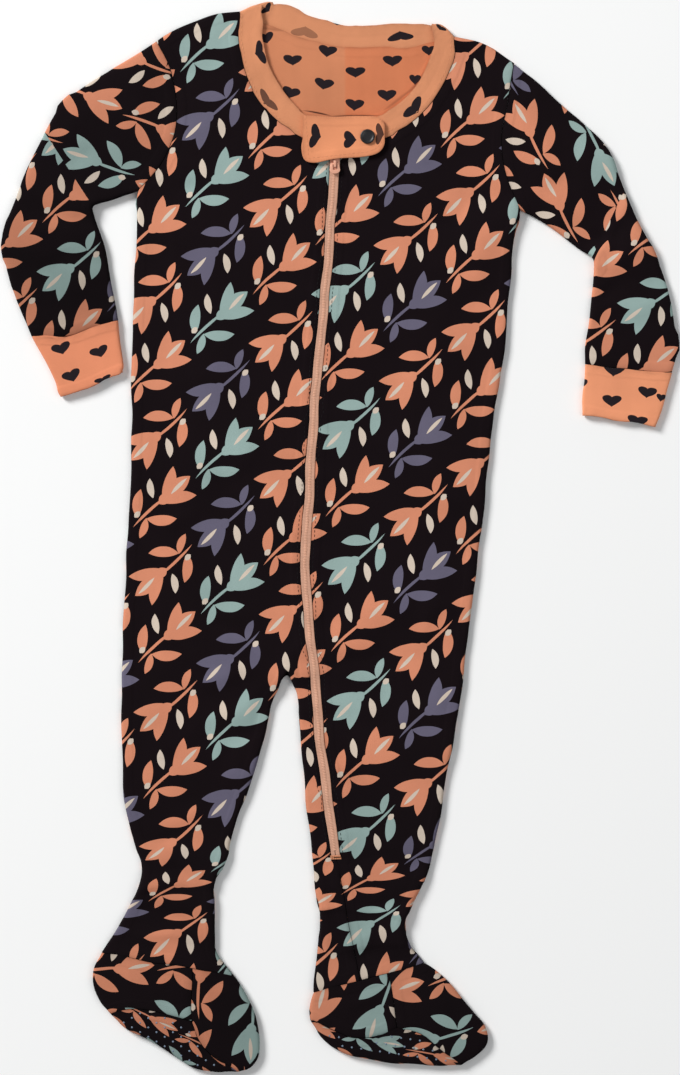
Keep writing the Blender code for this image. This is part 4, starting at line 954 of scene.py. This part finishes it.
def pathPoints(surface, line, step, lift=0.0):
    # points every step along a line of x and y of the flat pattern, laid on the cloth
    found = []
    line = [tuple(float(value) for value in swayed(*point)) for point in line]
    for (ax, ay), (bx, by) in zip(line, line[1:]):
        count = max(1, round(math.hypot(bx - ax, by - ay) / step))
        for n in range(count):
            x, y = ax + (bx - ax) * n / count, ay + (by - ay) * n / count
            found.append(onCloth(surface, x, y, lift))
    found.append(onCloth(surface, *line[-1], lift))
    return [point for point in found if point]


# Geometry Nodes: a rounded bead at even steps along a path, or on each point

def beadTree():
    tree = bpy.data.node_groups.new("beads", "GeometryNodeTree")
    kinds = {
        "Path": "Geometry", "Spacing": "Float", "Size": "Vector", "Along Path": "Bool",
        "Material": "Material",
    }
    for label, kind in kinds.items():
        tree.interface.new_socket(label, in_out="INPUT", socket_type="NodeSocket" + kind)
    tree.interface.new_socket("Beads", in_out="OUTPUT", socket_type="NodeSocketGeometry")
    given = tree.nodes.new("NodeGroupInput").outputs

    def step(kind, values=None, **settings):
        return addNode(tree, kind, values, **settings).outputs[0]

    curve = step("MeshToCurve", {"Mesh": given["Path"]})
    evenly = {"Curve": curve, "Length": given["Spacing"]}
    even = step("ResampleCurve", evenly, mode="LENGTH")
    tangent = {"Vector": step("InputTangent")}
    turn = step("FunctionNodeAlignRotationToVector", tangent, axis="X")
    ball = step("MeshUVSphere", {"Segments": 8, "Rings": 5, "Radius": 0.5})
    either = {"Switch": given["Along Path"], "False": given["Path"], "True": even}
    spots = step("Switch", either, input_type="GEOMETRY")
    each = {"Points": spots, "Instance": ball, "Rotation": turn, "Scale": given["Size"]}
    real = step("RealizeInstances", {"Geometry": step("InstanceOnPoints", each)})
    smooth = step("SetShadeSmooth", {"Geometry": real})
    coloured = step("SetMaterial", {"Geometry": smooth, "Material": given["Material"]})
    plug(coloured, tree.nodes.new("NodeGroupOutput").inputs[0])
    return tree


beads = beadTree()


def beadsOn(name, paths, size, made, spacing=None):
    # paths are lists of points; with no spacing each point gets a bead
    points, edges = [], []
    for path in paths:
        start = len(points)
        points += path
        if spacing:
            edges += [(n, n + 1) for n in range(start, len(points) - 1)]
    mesh = bpy.data.meshes.new(name)
    mesh.from_pydata(points, edges, [])
    values = {
        "Spacing": (spacing or 1.0) * mm, "Size": [value * mm for value in size],
        "Along Path": bool(spacing), "Material": made,
    }
    sockets = [item for item in beads.interface.items_tree if item.name in values]
    inputs = {item.identifier: values[item.name] for item in sockets}
    result = evaluated(mesh, {"NODES": {"node_group": beads, **inputs}})
    return linkPiece(name, result, made)


# Stitches, thread by thread: size is length, width and height

thread = {"size": (2.1, 0.42, 0.3), "spacing": 2.9, "lift": 0.02}
nightThread = threadMaterial("threadNight", (0.007, 0.005, 0.006))
coralThread = threadMaterial("threadCoral", (0.78, 0.33, 0.17))


def stitches(name, surface, lines, made, step=2.0):
    paths = [pathPoints(surface, line, step, thread["lift"]) for line in lines]
    return beadsOn(name, paths, thread["size"], made, thread["spacing"])


zipStitch = {"aside": 5.2, "top": 244.0, "bottom": -209.0, "step": 6.0}
zipRows = np.arange(zipStitch["top"], zipStitch["bottom"], -zipStitch["step"])
zipSides = [
    [(float(zipX(y)) + side * zipStitch["aside"], float(y)) for y in zipRows] for side in (-1, 1)
]
zipStitches = stitches("stitches_zip", topCloth, zipSides, nightThread)

bandSides = (
    (
        (-25.2, 264.4), (-41.6, 276.0), (-52.6, 287.8), (-59.2, 301.8), (-62.6, 313.4),
        (-65.0, 326.0), (-63.8, 341.0),
    ), (
        (31.4, 265.2), (46.6, 274.4), (57.0, 284.4), (63.6, 293.8), (69.0, 305.4),
        (72.2, 316.6), (72.6, 327.0),
    ),
)
bandStitches = stitches("stitches_neckband", topCloth, bandSides, coralThread)

guardStitch = (
    (-22.4, 274.2), (-20.4, 248.0), (-9.0, 248.9), (3.4, 250.4), (18.0, 252.0), (24.4, 254.6),
    (27.0, 258.4),
)
guardStitches = stitches(
    "stitches_guard", guardCloth, [guardStitch], coralThread, 1.0
)
print("stitches made")


# The zip's coil, seen as fine ribs where the tapes meet, and the bar tack at its lower end

coil = {
    "pitch": 1.05, "rib": (1.35, 3.0, 0.9), "top": 250.0, "clear": 2.0, "sink": -0.22,
    "aside": 1.3, "step": 2.5, "search": (0.1, 30),
}
coilMaterial = glossMaterial("coilNylon", (0.55, 0.290, 0.190), 0.5)
tapeSides = [surfaceOf([name]) for name in ("zip_tape_right", "zip_tape_left")]


def coilX(y):
    # the middle of the gap between the finished tapes at a height
    step, count = coil["search"]
    across = [float(zipX(y)) + step * n for n in range(-count, count + 1)]
    near, far = ([x for x in across if onCloth(side, x, y)] for side in tapeSides)
    return (max(near) + min(far)) / 2 if near and far else across[count]


coilPath = []
for y in np.arange(coil["top"], zipLine[0, 0] + coil["clear"], -coil["step"]):
    x = coilX(y)
    height = onCloth(topCloth, x + coil["aside"], y, coil["sink"]).z
    coilPath.append(Vector((x * mm, y * mm, height)))
zipCoil = beadsOn("zip_coil", [coilPath], coil["rib"], coilMaterial, coil["pitch"])

tack = {
    "half": 3.0, "rows": 5, "gap": 0.55, "rise": 0.8, "step": 1.0, "lift": 0.1,
    "size": (1.8, 0.5, 0.4), "spacing": 1.4,
}
tackPaths = []
for n in range(tack["rows"]):
    y = float(zipLine[0, 0]) + tack["rise"] - n * tack["gap"]
    ends = [(float(zipX(y)) + side * tack["half"], y) for side in (-1, 1)]
    tackPaths.append(pathPoints(topCloth, ends, tack["step"], tack["lift"]))
barTack = beadsOn(
    "zip_bar_tack", tackPaths, tack["size"], coralThread, tack["spacing"]
)


# Grip dots on the part of each sole that shows

grip = {
    "pitch": 6.2, "row": 0.87, "size": (1.4, 1.4, 0.5), "margin": 2.4, "lowest": 3.6,
    "colour": (0.13, 0.17, 0.23), "turns": {"sole_right": -30, "sole_left": -8},
}
gripMaterial = glossMaterial("gripSilicone", grip["colour"], 0.35, 0.2)


def gripDots(name):
    surface = surfaceOf([name])
    low, high = (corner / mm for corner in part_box(name))
    turn = math.radians(grip["turns"][name])
    middle = (low + high) / 2
    reach = int((high - low).length / grip["pitch"] / 2) + 1
    edge = grip["margin"]
    found = []
    for i in range(-reach, reach + 1):
        for j in range(-reach, reach + 1):
            u, v = (i + 0.5 * (j % 2)) * grip["pitch"], j * grip["pitch"] * grip["row"]
            x = middle.x + u * math.cos(turn) - v * math.sin(turn)
            y = middle.y + u * math.sin(turn) + v * math.cos(turn)
            near = ((x, y), (x + edge, y), (x, y + edge), (x - edge, y), (x, y - edge))
            around = [onCloth(surface, *spot) for spot in near]
            if all(around) and min(point.z for point in around) > grip["lowest"] * mm:
                found.append(around[0])
    side = name[5:]
    return beadsOn("grip_dots_" + side, [found], grip["size"], gripMaterial)


gripRight, gripLeft = gripDots("sole_right"), gripDots("sole_left")
print("zip coil and grip dots made")


# The snap's cap: a turned profile of radius and height above its base

snap = {
    "profile": (
        (0.0, 1.02), (1.6, 1.0), (2.9, 1.04), (3.3, 1.2), (3.75, 1.42), (4.2, 1.48),
        (4.55, 1.32), (4.76, 0.95), (4.8, 0.4), (4.7, 0.0), (0.0, 0.0),
    ),
    "turns": 56,
    "colour": (0.006, 0.005, 0.006),
}
shape = bmesh.new()
line = [shape.verts.new((r * mm, 0, z * mm)) for r, z in snap["profile"]]
spans = [shape.edges.new(pair) for pair in zip(line, line[1:])]
bmesh.ops.spin(
    shape, geom=line + spans, axis=(0, 0, 1), cent=origin, dvec=origin, angle=2 * math.pi,
    steps=snap["turns"],
)
bmesh.ops.remove_doubles(shape, verts=shape.verts, dist=weldReach)
bmesh.ops.recalc_face_normals(shape, faces=shape.faces)
low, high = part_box("snap_cap")
bmesh.ops.translate(shape, verts=shape.verts, vec=(*((low + high) / 2).xy, low.z))
mesh = meshOf("snap", shape)
mesh.shade_smooth()
snapGloss = glossMaterial("snapGloss", snap["colour"], 0.3)
linkPiece("snap", mesh, snapGloss, solid="snap_cap")


# The slider and its pull tab: their solids with softened edges

hardware = {"edge": 0.14, "flat": 1, "crisp": 40, "colour": (0.86, 0.42, 0.28)}
paint = satinPaint("zipPaint", hardware["colour"])


def makeHardware(name, riding):
    base = meshOf(name, solidShape(name, hardware["flat"], thin=True))
    mesh = evaluated(base, {"BEVEL": rounding(hardware["edge"])})
    mesh.shade_smooth()
    mesh.set_sharp_from_angle(angle=math.radians(hardware["crisp"]))
    linkPiece("metal_" + name, mesh, paint, riding, name)


makeHardware("slider", body)
makeHardware("pull", "pull")
print("snap, slider and pull tab made")


# Floor, light and camera

floorReach = 6.0
lamps = {  # place, size and power
    "key": ((-3.2, 2.6, 2.6), 1.7, 273.0),
    "fill": ((2.6, -0.8, 3.6), 3.0, 40.0),
}
sky = {"Color": (0.95, 0.97, 1.0, 1.0), "Strength": 0.29}
view = {"length": 704.125, "centre": (0.15, -0.34)}  # what the camera sees, in millimetres
cameraHeight = 2.4
clothMiddle = 0.0045

paper, shader = newMaterial("floorPaper", roughness=0.9)
plug((0.90, 0.90, 0.89, 1.0), shader.inputs["Base Color"])
mesh = bpy.data.meshes.new("floor")
corners = ((-1, -1), (1, -1), (1, 1), (-1, 1))
mesh.from_pydata([(x * floorReach, y * floorReach, 0) for x, y in corners], [], [(0, 1, 2, 3)])
mesh.materials.append(paper)
linked("floor", mesh)

for name, (place, size, power) in lamps.items():
    lamp = bpy.data.lights.new(name, "AREA")
    lamp.shape, lamp.size, lamp.energy = "DISK", size, power
    holder = linked(name, lamp)
    holder.location = place
    holder.rotation_euler = (-Vector(place)).to_track_quat("-Z", "Y").to_euler()

world = bpy.data.worlds.new("studio")
world.use_nodes = True
for label, value in sky.items():
    plug(value, world.node_tree.nodes["Background"].inputs[label])
bpy.context.scene.world = world
bpy.context.scene.view_settings.view_transform = "Standard"

camera = bpy.data.cameras.new("camera")
camera.sensor_fit, camera.sensor_height = "VERTICAL", 24.0
camera.lens = camera.sensor_height * (cameraHeight - clothMiddle) / (view["length"] * mm)
holder = linked("camera", camera)
x, y = view["centre"]
holder.location = (x * mm, y * mm, cameraHeight)
bpy.context.scene.camera = holder
print("floor, light and camera made")
